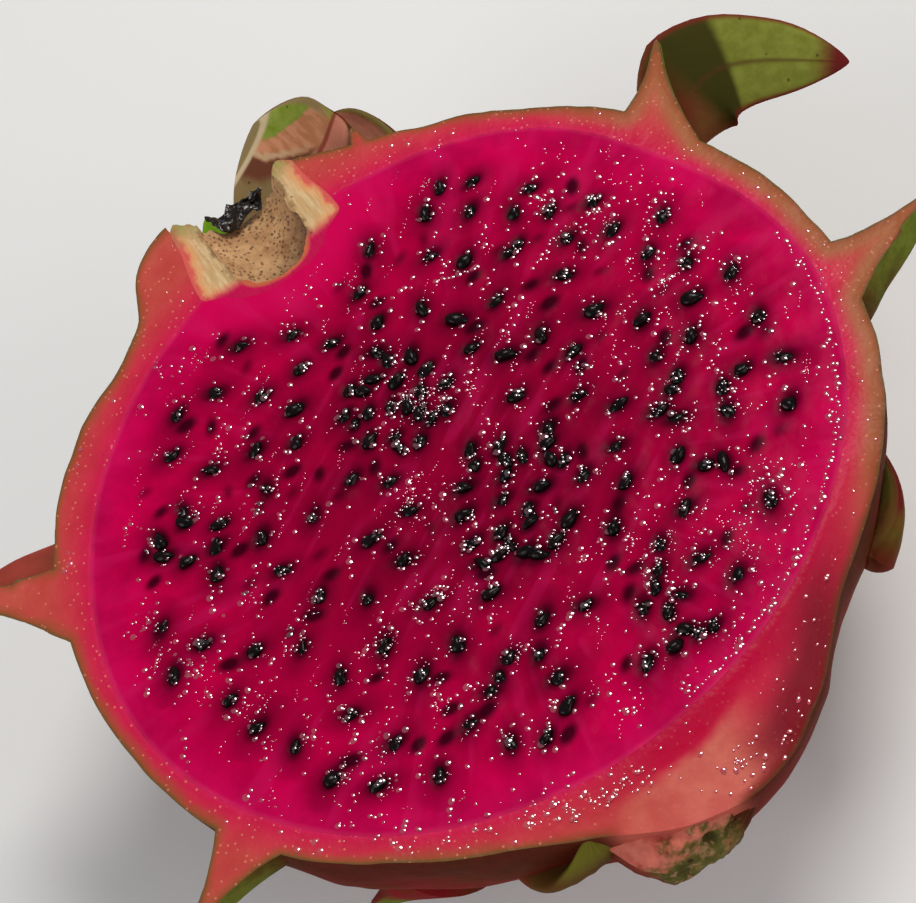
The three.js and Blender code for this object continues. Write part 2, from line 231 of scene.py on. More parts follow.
# Camera of the photograph, which leans to the stem end
CAMERA_AWAY = 280.0
CAMERA_FROM = (-0.0458, -0.5427, 0.8387)
IMAGE_RIGHT = (0.8257, -0.4922, -0.274)
IMAGE_WIDTH = 916
IMAGE_HEIGHT = 903
FOCAL_PIXELS = 2408
MIDDLE_PIXEL = (465, 475)


# Outlines, cut and relief

def outline_radius(outline, degrees):
    """Radius of a closed outline: a cubic between each two points whose end slopes join the neighbours."""
    points = np.array(outline, float)
    count = len(points)
    knots = np.arange(-1, count + 3)
    angle = points[knots % count, 0] + 360 * (knots // count)
    radius = points[knots % count, 1]
    wrapped = points[0, 0] + np.mod(np.asarray(degrees, float) - points[0, 0], 360)
    i = np.searchsorted(angle, wrapped, side="right") - 1
    span = angle[i + 1] - angle[i]
    t = (wrapped - angle[i]) / span
    slope_in = span * (radius[i + 1] - radius[i - 1]) / (angle[i + 1] - angle[i - 1])
    slope_out = span * (radius[i + 2] - radius[i]) / (angle[i + 2] - angle[i])
    blend = 3 * t**2 - 2 * t**3
    bend = t * (1 - t) ** 2 * slope_in - t**2 * (1 - t) * slope_out
    return (1 - blend) * radius[i] + blend * radius[i + 1] + bend


def lumps(points, size, start):
    """Smooth random height from -1 to 1: random numbers at the corners of cubes of that size, blended."""
    table = np.random.default_rng(start).uniform(-1, 1, 8192)
    cell = np.asarray(points, float) / size
    corner = np.floor(cell).astype(np.int64)
    part = cell - corner
    part = part * part * (3 - 2 * part)
    total = 0
    for step in np.ndindex(2, 2, 2):
        step = np.array(step)
        share = np.prod(np.where(step == 1, part, 1 - part), axis=-1)
        key = corner + step
        index = (key[..., 0] * 73856093) ^ (key[..., 1] * 19349663) ^ (key[..., 2] * 83492791)
        total = total + share * table[index % 8192]
    return total


def layered(points, layers):
    """Sum of lumps, from the (height, size, start) of each layer."""
    return sum(height * lumps(points, size, start) for height, size, start in layers)


def polar(radius, angle):
    """x and y of a radius at an angle in radians."""
    return radius * np.cos(angle), radius * np.sin(angle)


def plan_angle(x, y):
    """Angle from +X in degrees, seen from above."""
    return np.degrees(np.arctan2(y, x))


def past_flesh(x, y):
    """How far a place lies outside the flesh's outline at the cut face."""
    return np.hypot(x, y) - outline_radius(FLESH_OUTLINE, plan_angle(x, y))


def share_of_oval(x, y, oval):
    """0 in the middle of an oval round the cup and 1 on its edge."""
    half_width, half_length, middle = oval
    return np.hypot((x - CUP_AXIS_X) / half_width, (y - middle) / half_length)


def smooth_step(value, low, high):
    """0 below low, 1 above high, and an S-shaped rise between them."""
    t = np.clip((value - low) / (high - low), 0, 1)
    return t * t * (3 - 2 * t)


def on_stretch(degrees, stretch):
    """1 on a stretch of plan angles and 0 off it, with a smooth rise and fall."""
    rise_start, rise_end, fall_start, fall_end = stretch
    return smooth_step(degrees, rise_start, rise_end) * (1 - smooth_step(degrees, fall_start, fall_end))


def slope_at(degrees):
    """How far the knife dips at a plan angle: a raised cosine round the middle of the slope."""
    away = np.abs(np.mod(degrees - SLOPE_MIDDLE + 180, 360) - 180)
    return np.where(away < SLOPE_REACH, SLOPE_DEPTH * (0.5 + 0.5 * np.cos(np.pi * away / SLOPE_REACH)), 0)


def cut_height(x, y):
    """Height of the cut: the slope's dip, reached at the rind's outline, its folds and a moist grain."""
    degrees = plan_angle(x, y)
    start = outline_radius(FLESH_OUTLINE, degrees) + SLOPE_START
    share = np.clip((np.hypot(x, y) - start) / (outline_radius(RIND_OUTLINE, degrees) - start), 0, 1)
    flat = np.stack([x, y, np.zeros_like(x)], -1)
    steep = slope_at(degrees) / SLOPE_DEPTH
    folds = SLOPE_FOLDS * steep * smooth_step(share, 0.1, 0.6) * lumps(flat, 5.5, 13)
    return -slope_at(degrees) * share + layered(flat, CUT_GRAIN) + folds - CUT_DROP


# Meshes

def closed_rings(rings, first=None, last=None):
    """Points and corner lists of a closed tube of rings with a pole at each end, all facing outwards."""
    rows, columns = rings.shape[:2]
    poles = [rings[0].mean(0) if first is None else first, rings[-1].mean(0) if last is None else last]
    points = np.concatenate([rings.reshape(-1, 3), np.array(poles, float)])
    row = np.arange(rows - 1)[:, None] * columns
    here = np.arange(columns)
    after = (here + 1) % columns
    row_after = row + columns
    quads = np.stack([row + here, row + after, row_after + after, row_after + here], -1).reshape(-1, 4)
    end = (rows - 1) * columns
    pole = rows * columns
    start_fan = np.stack([after, here, np.full(columns, pole)], -1)
    end_fan = np.stack([end + here, end + after, np.full(columns, pole + 1)], -1)
    fans = np.concatenate([start_fan, end_fan])
    a, b, c, d = (points[quads[:, k]] for k in range(4))
    volume = np.sum(a * np.cross(b, c)) + np.sum(a * np.cross(c, d))
    volume += np.sum(points[fans[:, 0]] * np.cross(points[fans[:, 1]], points[fans[:, 2]]))
    if volume < 0:
        quads = quads[:, ::-1]
        fans = fans[:, ::-1]
    return points, quads, fans


def new_piece(name, points, *faces):
    """A mesh object from millimetre points in the fruit's frame."""
    mesh = bpy.data.meshes.new(name)
    corners = [corner for group in faces for corner in group.tolist()]
    mesh.from_pydata(((points + LIFT) * MM).tolist(), [], corners)
    mesh.update()
    piece = bpy.data.objects.new(name, mesh)
    bpy.context.scene.collection.objects.link(piece)
    return piece


def read_rows(items, name):
    """A vector of each of a mesh's vertices or faces, as rows."""
    flat = np.zeros(len(items) * 3, np.float32)
    items.foreach_get(name, flat)
    return flat.reshape(-1, 3).astype(float)


def read_counts(items, name):
    """A whole number of each of a mesh's corners or faces."""
    counts = np.zeros(len(items), np.int32)
    items.foreach_get(name, counts)
    return counts


def read_points(mesh):
    """The mesh's points, back in the fruit's millimetres."""
    return read_rows(mesh.vertices, "co") / MM - LIFT


def read_faces(mesh):
    """Centre, in the fruit's millimetres, and outward normal of each face."""
    return read_rows(mesh.polygons, "center") / MM - LIFT, read_rows(mesh.polygons, "normal")


def set_values(mesh, **values):
    """A number for each point under each name, for the materials."""
    for name, numbers in values.items():
        attribute = mesh.attributes.get(name) or mesh.attributes.new(name, "FLOAT", "POINT")
        attribute.data.foreach_set("value", np.asarray(numbers, np.float32))


def set_map(mesh, name, values):
    """A UV map that gives each corner its point's pair of values."""
    corner = read_counts(mesh.loops, "vertex_index")
    layer = mesh.uv_layers.new(name=name)
    layer.uv.foreach_set("vector", np.asarray(values, np.float32)[corner].ravel())


def combine(base, others, operation):
    """Joins closed meshes to base, or cuts them from it, one after another, and removes them."""
    for other in others:
        modifier = base.modifiers.new("combine", "BOOLEAN")
        modifier.operation = operation
        modifier.object = other
        modifier.solver = "MANIFOLD"
        shaped = base.evaluated_get(bpy.context.evaluated_depsgraph_get())
        mesh = bpy.data.meshes.new_from_object(shaped)
        base.modifiers.clear()
        base.data = mesh
        bpy.data.objects.remove(other)


def is_on_cut(centre, normal):
    """True for each face that lies on the cut and faces up."""
    return (np.abs(centre[:, 2] - cut_height(centre[:, 0], centre[:, 1])) < 0.25) & (normal[:, 2] > 0.45)


def give_materials(mesh, material, second_material=None, is_second=None):
    """One material for all faces, or a second one for some of them."""
    mesh.materials.clear()
    mesh.materials.append(material)
    if second_material is not None:
        mesh.materials.append(second_material)
        mesh.polygons.foreach_set("material_index", is_second.astype(np.int32))


def finish_piece(piece, sharp_degrees, slot, *nodes):
    """Smooth shading up to an angle, and the piece's place in the part."""
    mesh = piece.data
    mesh.name = piece.name
    mesh.polygons.foreach_set("use_smooth", np.ones(len(mesh.polygons), bool))
    mesh.set_sharp_from_angle(angle=math.radians(sharp_degrees))
    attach(piece, "root")
    if nodes:
        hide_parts(*nodes)


# Bowl, knife and cup bed

def bowl_rings(outline, spread, depth, last_sink, rise, rows):
    """Half bowl: rings shrink by the cosine and sink by the sine of an angle that grows to the last sink.
    A first ring stands above the rim, and a smaller last one lies in the bottom."""
    degrees = np.linspace(0, 360, RIND_STEPS, endpoint=False)
    full = outline_radius(outline, degrees) + spread
    sink = np.linspace(0, last_sink, rows)[:, None]
    radius = np.concatenate([full[None], full * np.cos(sink), 0.6 * full * np.cos(sink[-1:])])
    height = np.concatenate([[[rise]], -depth * np.sin(sink), -depth * np.sin(sink[-1:])])
    return np.stack([*polar(radius, np.radians(degrees)), np.broadcast_to(height, radius.shape)], -1)


def knife():
    """All that was cut away: a block whose lower face is the cut, with rings close together over the rind."""
    degrees = np.linspace(0, 360, KNIFE_STEPS, endpoint=False)
    flesh = outline_radius(FLESH_OUTLINE, degrees)
    past_edge = np.concatenate([np.linspace(-6, 8.5, 26), np.linspace(9, 34, 34), [48]])[:, None]
    radius = np.maximum(4, flesh - 1 + past_edge)[::-1]
    x, y = polar(radius, np.radians(degrees))
    under = np.stack([x, y, cut_height(x, y)], -1)
    top = under[:1].copy()
    top[..., 2] = 40
    inner = np.stack([x[-1:] * 0.3, y[-1:] * 0.3, np.full_like(x[-1:], -CUT_DROP)], -1)
    return new_piece("knife", *closed_rings(np.concatenate([top, under, inner])))


def smooth_profile():
    """The cup's profile at even steps of its length, its corners rounded by a short running mean."""
    profile = np.array(CUP_PROFILE, float)
    length = np.concatenate([[0], np.cumsum(np.linalg.norm(np.diff(profile, axis=0), axis=1))])
    even = np.linspace(0, length[-1], CUP_PROFILE_STEPS)
    soft = np.stack([np.interp(even, length, profile[:, k]) for k in range(2)], -1)
    for _ in range(3):
        soft[1:-1] = (soft[:-2] + 2 * soft[1:-1] + soft[2:]) / 4
    return soft


def turned(name, profile, relief=None):
    """Surface of revolution round the cup's axis."""
    turn = np.linspace(0, FULL_TURN, CUP_STEPS, endpoint=False)
    inner = profile[1:-1]
    x = CUP_AXIS_X + inner[:, :1] * np.cos(turn)
    z = inner[:, :1] * np.sin(turn)
    rings = np.stack([x, np.broadcast_to(inner[:, 1:], x.shape), z], -1)
    if relief is not None:
        rings = relief(rings)
    ends = [(CUP_AXIS_X, profile[0, 1], 0), (CUP_AXIS_X, profile[-1, 1], 0)]
    return new_piece(name, *closed_rings(rings, *ends))


def cup_bed():
    """The bed that the cup sits in: its outer profile, grown a little and run out past the mouth."""
    rounded = smooth_profile()
    outer = rounded[:np.argmax(rounded[:, 1] > CUP_SIDE_END)]
    outer = outer + np.array([CUP_GAP, -CUP_GAP]) * (outer[:, :1] > 0)
    return turned("cup_bed", np.concatenate([outer, [(outer[-1, 0], CUP_BED_END), (0, CUP_BED_END)]]))


# Scales

def scale_frame(line, side, s):
    """Point and the axes across and out of a scale, along its bent line at shares s."""
    a, b, c, d = np.array(line, float)
    s = s[:, None]
    point = (1 - s) ** 3 * a + 3 * (1 - s) ** 2 * s * b + 3 * (1 - s) * s**2 * c + s**3 * d
    tangent = 3 * (1 - s) ** 2 * (b - a) + 6 * (1 - s) * s * (c - b) + 3 * s**2 * (d - c)
    tangent /= np.linalg.norm(tangent, axis=1, keepdims=True)
    across = np.array(side[0], float) * (1 - s) + np.array(side[1], float) * s
    across -= tangent * np.sum(across * tangent, axis=1, keepdims=True)
    across /= np.linalg.norm(across, axis=1, keepdims=True)
    normal = np.cross(across, tangent)
    return point, across, normal / np.linalg.norm(normal, axis=1, keepdims=True)


def map_scale(piece, number, along, across):
    """Maps that give the materials each point's (share along, share across) and the number of its scale."""
    pairs = np.stack(np.broadcast_arrays(along, across), -1).reshape(-1, 2)
    set_map(piece.data, "scale", np.concatenate([pairs, [[0, 0.5], [1, 0.5]]]))
    set_map(piece.data, "number", np.tile([(number + 1) / NUMBER_STEP, 0.5], (len(pairs) + 2, 1)))


def scale_piece(number, line, side, width, root, cup=0.0, blade=1.3, neck=1.0, taper=0.8):
    """Leaf-like scale: an oval section carried along a bent line, thick at the root and thin at the tip.
    Its margins wave a little, and fine ribs run along it."""
    s = 0.5 - 0.5 * np.cos(np.linspace(0.06, math.pi - 0.06, SCALE_RINGS))
    point, across, normal = scale_frame(line, side, s)
    turn = np.linspace(0, FULL_TURN, SCALE_SIDES, endpoint=False)[None]
    s = s[:, None]
    closed = np.sqrt(np.minimum(1, 9 * s)) * np.sqrt(1 - s**12)
    spread = neck + (1 - neck) * np.minimum(1, 3 * s)
    half_width = closed * spread * width / 2 * (0.12 + 0.88 * (1 - s) ** taper)
    half_thick = closed / 2 * (blade + (root - blade) * (1 - s) ** 2.2)
    ahead, aside = np.broadcast_arrays(s, np.cos(turn))
    wave = lumps(np.stack([6 * ahead, 0.8 * aside, 0 * ahead + number], -1), 1.0, 21)
    sideways = half_width * np.cos(turn) * (1 + MARGIN_WAVE * wave * np.minimum(1, 2 * s))
    ribs = RIB_HEIGHT * np.cos(SCALE_RIBS * np.cos(turn)) * np.minimum(1, 2 * s) * np.abs(np.sin(turn))
    bow = cup * (sideways / (width / 2)) ** 2
    ripple = RIPPLE_HEIGHT * np.abs(np.cos(turn)) ** 2 * smooth_step(s, 0.3, 0.9) * wave
    upward = (half_thick + ribs * closed) * np.sin(turn) + bow + ripple * closed
    rings = point[:, None] + across[:, None] * sideways[..., None] + normal[:, None] * upward[..., None]
    piece = new_piece(f"scale_{number}", *closed_rings(rings))
    map_scale(piece, number, s, 0.5 + 0.5 * np.cos(turn))
    return piece


def surface_point(direction):
    """Point of the outer surface in a direction from the middle of the face."""
    x, y, z = direction
    full = float(outline_radius(RIND_OUTLINE, plan_angle(x, y)))
    level = math.hypot(x, y)
    sink = math.atan2(-z * full, FULL_DEPTH * level)
    out = full * math.cos(sink)
    return np.array([out * x / level, out * y / level, -FULL_DEPTH * math.sin(sink)])


def spiral_scales():
    """Scales on the back: a step of the spiral holds one where it is below the cut and clear of the rest
    spot. Those nearer the cut stand out further."""
    found = []
    for i in range(SPIRAL_SCALES):
        along = SPIRAL_START + (SPIRAL_END - SPIRAL_START) * i / (SPIRAL_SCALES - 1)
        turn = math.radians(i * GOLDEN_ANGLE)
        girth = math.sqrt(max(0.04, 1 - (along / 60) ** 2))
        direction = np.array([girth * math.cos(turn), along / 50, -girth * math.sin(turn)])
        below_cut = math.atan2(-direction[2], math.hypot(direction[0], direction[1]))
        if not SPIRAL_HIGHEST <= below_cut <= SPIRAL_LOWEST:
            continue
        foot = surface_point(direction)
        normal = foot / np.linalg.norm(foot)
        forward = np.array([0, 1, 0]) - normal * normal[1]
        forward /= np.linalg.norm(forward)
        lift = 8.5 - 6 * (below_cut - SPIRAL_HIGHEST) / (SPIRAL_LOWEST - SPIRAL_HIGHEST)
        steps = [(-4, -5), (1, -1), (lift * 0.5, 5), (lift, 9)]
        line = [foot + normal * out + forward * ahead for out, ahead in steps]
        across = np.cross(forward, normal)
        found.append(dict(line=line, side=(across, across), width=17, root=11))
    return found


def stem_stump():
    """Short stump: rings along its axis, wider than high, with ridges that run along it. It ends in a rough
    corky face with two pits. It is mapped by (share along, height from underside to top)."""
    base = np.array(STEM_BASE)
    end = np.array(STEM_END)
    axis = (end - base) / np.linalg.norm(end - base)
    across = np.array([1.0, 0, 0])
    up = np.cross(axis, across)
    up = up * np.sign(up[2])
    along = np.sin(np.linspace(0, 0.5 * math.pi, 60))[:, None]
    closing = np.sqrt(np.maximum(0.003, 1 - along**16))
    share = closing * np.interp(along, *np.array(STEM_ROWS).T)
    turn = np.linspace(0, FULL_TURN, STUMP_STEPS, endpoint=False)[None]
    ridges = 0.05 * np.cos(5 * turn) + 0.035 * np.cos(11 * turn + 2 * along) + 0.02 * np.cos(23 * turn)
    radius = STEM_RADIUS * share * (1 + ridges * smooth_step(along, 0, 0.5))
    middle = base + (end - base) * along[..., None]
    rings = middle + across * (STEM_BREADTH * radius * np.cos(turn))[..., None]
    rings = rings + up * (radius * np.sin(turn))[..., None]
    outward = rings - middle
    outward = outward / (np.linalg.norm(outward, axis=-1, keepdims=True) + 1e-6)
    corky = smooth_step(along, 0.6, 0.95)
    swell = layered(rings, STUMP_SWELL) + corky * layered(rings, STUMP_CORK)
    rings = rings + outward * (swell * smooth_step(share, 0, 0.4))[..., None]
    rough = layered(rings, STUMP_END_ROUGHNESS)
    local = rings - end
    pits = sum(1.3 * np.exp(-((local[..., 0] - x) ** 2 + (local[..., 2] - z) ** 2) / 0.9)
               for x, z in STEM_PITS)
    rings = rings + axis * (corky * (rough - 0.3) - pits * smooth_step(along, 0.8, 0.95))[..., None]
    piece = new_piece("stump", *closed_rings(rings))
    map_scale(piece, STUMP, along, 0.5 + 0.5 * np.sin(turn))
    return piece


# Rind

def skin_relief(rings, feet):
    """Pushes the skin out and in: broad and fine lumps, and a long swelling under each scale's root."""
    outward = rings * np.array([1, 1, 0.9])
    outward = outward / np.linalg.norm(outward, axis=-1, keepdims=True)
    amount = layered(rings, SKIN_LUMPS)
    for foot, forward in feet:
        away = rings - foot
        ahead = away @ forward
        beside = np.sqrt(np.maximum(0, np.sum(away * away, -1) - ahead**2))
        amount = amount + 1.1 * np.exp(-((beside / 6.5) ** 2) - ((ahead + 5) / 7) ** 2)
    clear_of_floor = smooth_step(rings[..., 2], -FACE_HEIGHT, -FACE_HEIGHT + 7)
    return rings + outward * (amount * clear_of_floor)[..., None]


def nearest(points, others):
    """Distance from each point to the nearest of the others, worked out in blocks."""
    result = np.empty(len(points))
    for start in range(0, len(points), 2000):
        block = points[start:start + 2000]
        gaps = block[:, None] - others[None]
        result[start:start + 2000] = np.sqrt(np.min(np.sum(gaps * gaps, -1), axis=1))
    return result


def find_cut_faces(mesh):
    """True for the faces of the cut, of the pulp's space and of the side of the cup's bed."""
    centre, normal = read_faces(mesh)
    x, y, z = centre.T
    flesh = outline_radius(FLESH_OUTLINE, plan_angle(x, y))
    in_pulp_space = np.hypot(np.hypot(x, y) / (flesh + 0.1), z / (FLESH_DEPTH + BOTTOM_GAP)) < 1.012
    from_axis = np.hypot(x - CUP_AXIS_X, z)
    faces_axis = normal[:, 0] * (x - CUP_AXIS_X) + normal[:, 2] * z < -0.5 * from_axis
    beside_cup = (y > 36) & (y < 57.5) & (from_axis < 10.9) & (np.abs(normal[:, 1]) < 0.9)
    return is_on_cut(centre, normal) | in_pulp_space | (beside_cup & faces_axis)


def colour_rind(piece, cut_material, skin_material):
    """Gives cut faces their own material, and each point what its colour depends on."""
    mesh = piece.data
    is_cut = find_cut_faces(mesh)
    give_materials(mesh, skin_material, cut_material, is_cut)
    points = read_points(mesh)
    corner = read_counts(mesh.loops, "vertex_index")
    corner_cut = np.repeat(is_cut, read_counts(mesh.polygons, "loop_total"))
    in_cut = np.bincount(corner[corner_cut], minlength=len(points)) > 0
    in_skin = np.bincount(corner[~corner_cut], minlength=len(points)) > 0
    x, y, z = points.T
    degrees = plan_angle(x, y)
    from_flesh = past_flesh(x, y)
    edge = in_cut & in_skin & (from_flesh > 1.2)
    shown = in_cut & (z > -12)
    from_skin = np.full(len(points), 20.0)
    from_skin[shown] = nearest(points[shown], points[edge])
    from_middle = points - np.array([0, 0, -5])
    from_middle /= np.linalg.norm(from_middle, axis=1, keepdims=True)
    stump_x, stump_y, half_x, half_y = STUMP_TINT
    to_stump = np.hypot((x - stump_x) / half_x, (y - stump_y) / half_y)
    set_values(
        mesh, from_flesh=from_flesh, from_skin=from_skin, slope=slope_at(degrees) / SLOPE_DEPTH,
        deep_red=on_stretch(degrees, DEEP_RED_STRETCH), salmon=on_stretch(degrees, SALMON_STRETCH),
        tan_side=on_stretch(degrees, TAN_STRETCH),
        at_stump=(1 - smooth_step(to_stump, 0.75, 1.2)) * smooth_step(z, -12, -8),
        outward=np.sum(read_rows(mesh.vertices, "normal") * from_middle, axis=1))


def make_rind(cut_material, skin_material):
    """The rind: body, scales and stump joined, less the pulp's space, the knife and the cup's bed."""
    back_scales = spiral_scales()
    feet = []
    for scale in back_scales:
        start, bend = scale["line"][:2]
        forward = (bend - start) / np.linalg.norm(bend - start)
        feet.append((bend - forward * 2, forward))
    back = bowl_rings(RIND_OUTLINE, 0, FULL_DEPTH, math.asin(FACE_HEIGHT / FULL_DEPTH), 2, 60)
    body = new_piece("rind_body", *closed_rings(skin_relief(back, feet)))
    for name in ("scale", "number"):
        set_map(body.data, name, np.tile([0.0, 0.5], (len(body.data.vertices), 1)))
    scales = [scale_piece(i, **scale) for i, scale in enumerate(RIM_SCALES + back_scales)]
    combine(body, scales + [stem_stump()], "UNION")
    space = bowl_rings(FLESH_OUTLINE, FLESH_GAP, FLESH_DEPTH + BOTTOM_GAP, math.pi / 2 - 0.02, 3, 30)
    pulp_space = new_piece("pulp_space", *closed_rings(space))
    combine(body, [pulp_space, knife(), cup_bed()], "DIFFERENCE")
    colour_rind(body, cut_material, skin_material)
    finish_piece(body, 38, "rind", "rind")


# Flesh and seeds

def random_numbers(start):
    """Even random numbers from 0 to 1, the same on each run."""
    state = start
    while True:
        state = state * 16807 % 2147483647
        yield state / 2147483647


def seed_places():
    """Rows of x, y, turn and size for the seeds that show and for the sunk ones. Patches are filled first,
    then places are scattered, none too close, and some seeds in patches get a companion."""
    numbers = random_numbers(RANDOM_START)
    places = []

    def try_place(x, y, spacing):
        """Keeps a place on the flesh that is clear of the cup and of the places kept before."""
        inside = math.hypot(x, y) < SEED_MARGIN * float(outline_radius(FLESH_OUTLINE, plan_angle(x, y)))
        clear_of_cup = share_of_oval(x, y, CLEAR_OF_SEEDS) > 1
        if inside and clear_of_cup and all(math.hypot(p[0] - x, p[1] - y) > spacing for p in places):
            turn = 0.35 + 1.6 * (next(numbers) - 0.5)
            places.append((x, y, turn, 0.9 + 0.25 * next(numbers)))
            return 1
        return 0

    def scatter(wanted, spacing):
        """Draws places over the whole square until enough are kept or the tries run out."""
        found = tries = 0
        while tries < SCATTER_TRIES and found < wanted:
            x = FIELD * (next(numbers) - 0.5)
            y = FIELD * (next(numbers) - 0.5)
            found += try_place(x, y, spacing)
            tries += 1

    for x, y, spread, count in SEED_PATCHES:
        found = tries = 0
        while tries < PATCH_TRIES and found < count:
            away = spread * math.sqrt(next(numbers))
            turn = FULL_TURN * next(numbers)
            found += try_place(x + away * math.cos(turn), y + away * math.sin(turn), SEED_SPACING)
            tries += 1
    scatter(SCATTERED_SEEDS, 1.6 * SEED_SPACING)
    shown = len(places)
    scatter(SUNK_SEEDS, 0.75 * SEED_SPACING)
    places = np.array(places)
    in_patches = places[:sum(patch[3] for patch in SEED_PATCHES)]
    rng = np.random.default_rng(75)
    companions = in_patches[rng.random(len(in_patches)) < COMPANION_SHARE].copy()
    turn = rng.uniform(0, FULL_TURN, len(companions))
    gap = rng.uniform(*COMPANION_GAP, len(companions))
    companions[:, 0] += gap * np.cos(turn)
    companions[:, 1] += gap * np.sin(turn)
    companions[:, 2] = turn + rng.normal(0, 0.6, len(companions))
    return np.concatenate([places[:shown], companions]), places[shown:]


def seed_nearness(x, y, seeds, reach):
    """1 at a seed, falling off as a bell curve with the distance in seed widths."""
    near = np.zeros(x.shape)
    for seed_x, seed_y, turn, size in seeds:
        close = np.abs(x - seed_x) + np.abs(y - seed_y) < 6
        dx = x[close] - seed_x
        dy = y[close] - seed_y
        along = (dx * math.cos(turn) + dy * math.sin(turn)) / (1.3 * size)
        beside = (dy * math.cos(turn) - dx * math.sin(turn)) / (0.8 * size)
        near[close] = np.maximum(near[close], np.exp(-(along**2 + beside**2) / reach**2))
    return near


def fibre_strength(x, y):
    """Pale fibres: noise drawn out along a slanting line in the middle and along the radius near the rim."""
    angle = np.arctan2(y, x)
    radius = np.hypot(x, y)
    slant = math.radians(32)
    along = x * math.cos(slant) + y * math.sin(slant)
    beside = y * math.cos(slant) - x * math.sin(slant)
    middle = lumps(np.stack([along / 8 + 0.05 * beside, beside / 0.9, 0 * x], -1), 1, 51)
    rim = lumps(np.stack([radius / 7, angle * 34, 0 * x], -1), 1, 52)
    share = smooth_step(radius, 18, 34)
    return 0.5 + 0.5 * (middle * (1 - share) + rim * share)


def flesh_height(x, y, seeds, sunk):
    """Height of the wet flesh: low waves, grain, fibres, a dent round each seed and a rise over sunk ones."""
    height = layered(np.stack([x, y, np.zeros_like(x)], -1), FLESH_WAVES)
    height += 0.05 * (fibre_strength(x, y) - 0.5)
    height += 0.16 * seed_nearness(x, y, sunk, 1.5)
    height += 0.2 * seed_nearness(x, y, seeds, 2.0) - 0.45 * seed_nearness(x, y, seeds, 1.15)
    return height - CUT_DROP


def make_flesh(material, seeds, sunk):
    """The flesh: rings of the cut face from the middle out, then the bowl under them, less the cup's bed."""
    degrees = np.linspace(0, 360, FLESH_STEPS, endpoint=False)
    angle = np.radians(degrees)
    full = outline_radius(FLESH_OUTLINE, degrees)
    share = np.linspace(0.008, 1, 116)[:, None]
    x, y = polar(full * share, angle)
    inside = smooth_step(full * (1 - share), 0, 0.9)
    face = np.stack([x, y, flesh_height(x, y, seeds, sunk) * inside + cut_height(x, y) * (1 - inside)], -1)
    sink = np.linspace(0, math.pi / 2, 18)[1:-1, None]
    below = -BOTTOM_GAP - FLESH_DEPTH * np.sin(sink) + BOTTOM_GAP * np.sin(sink)
    x, y = polar(full * np.cos(sink), angle)
    under = np.stack([x, y, np.broadcast_to(below, x.shape)], -1)
    rings = np.concatenate([face, under])
    piece = new_piece("flesh_pulp", *closed_rings(rings, last=(0, 0, -FLESH_DEPTH)))
    combine(piece, [cup_bed()], "DIFFERENCE")
    mesh = piece.data
    x, y, z = read_points(mesh).T
    shades = [strength * seed_nearness(x, y, sunk[group::3], 1.15)
              for group, strength in enumerate((1.0, 0.85, 0.55))]
    # seed_shade holds the painted shade round each seed
    set_values(
        mesh, from_edge=-past_flesh(x, y), from_cup=share_of_oval(x, y, CUP_GLOW) - 1,
        fibre=fibre_strength(x, y), seed_shade=seed_nearness(x, y, seeds, 2.5),
        sunk_seed=np.maximum.reduce(shades))
    give_materials(mesh, material)
    finish_piece(piece, 40, "flesh", "flesh")


def many_copies(name, shape, faces, places, turns, scales):
    """One mesh of many small copies: each is scaled, turned and put at its place."""
    count, size = len(places), len(shape)
    points = np.einsum("nij,nkj->nki", turns, shape[None] * scales[:, None]) + places[:, None]
    groups = [(f[None] + (np.arange(count) * size)[:, None, None]).reshape(-1, f.shape[1]) for f in faces]
    return new_piece(name, points.reshape(-1, 3), *groups)


def turn_matrices(turn, lean_x, lean_y):
    """Turns round the upright axis, then a small lean to each side."""
    zero, one = np.zeros_like(turn), np.ones_like(turn)
    about = np.array([[np.cos(turn), -np.sin(turn), zero], [np.sin(turn), np.cos(turn), zero],
                      [zero, zero, one]]).transpose(2, 0, 1)
    lean = np.array([[one, zero, lean_x], [zero, one, lean_y], [-lean_x, -lean_y, one]]).transpose(2, 0, 1)
    return lean @ about


def crumple(mesh, size, amount, start):
    """Moves each point by smooth random steps, alike for points that lie close together."""
    points = read_points(mesh)
    steps = np.stack([lumps(points, size, start + k) for k in range(3)], -1)
    place = (points + amount * steps + LIFT) * MM
    mesh.vertices.foreach_set("co", place.astype(np.float32).ravel())


def make_seeds(material, seeds):
    """Black teardrop seeds: an oval whose breadth shrinks towards its pointed end."""
    sink = np.linspace(0, math.pi, 10)[1:-1, None]
    turn = np.linspace(0, FULL_TURN, 14, endpoint=False)
    x = np.cos(sink) + 0 * turn
    y = np.sin(sink) * np.cos(turn) * (1 - 0.35 * x)
    z = np.sin(sink) * np.sin(turn)
    shape, quads, fans = closed_rings(np.stack([x, y, z], -1), (1, 0, 0), (-1, 0, 0))
    count = len(seeds)
    rng = np.random.default_rng(71)
    half_sides = np.array([SEED_LENGTH / 2, SEED_WIDTH / 2, SEED_HEIGHT / 2])
    scales = seeds[:, 3:4] * half_sides * rng.uniform(0.72, 1.02, (count, 3))
    lean = rng.normal(0, 0.2, (2, count))
    places = np.stack([seeds[:, 0], seeds[:, 1], rng.uniform(*SEED_LEVELS, count)], -1)
    turns = turn_matrices(seeds[:, 2] + rng.normal(0, 0.35, count), *lean)
    piece = many_copies("seeds", shape, (quads, fans), places, turns, scales)
    crumple(piece.data, 1.0, 0.2, 76)
    give_materials(piece.data, material)
    finish_piece(piece, 180, "flesh")


# Juice

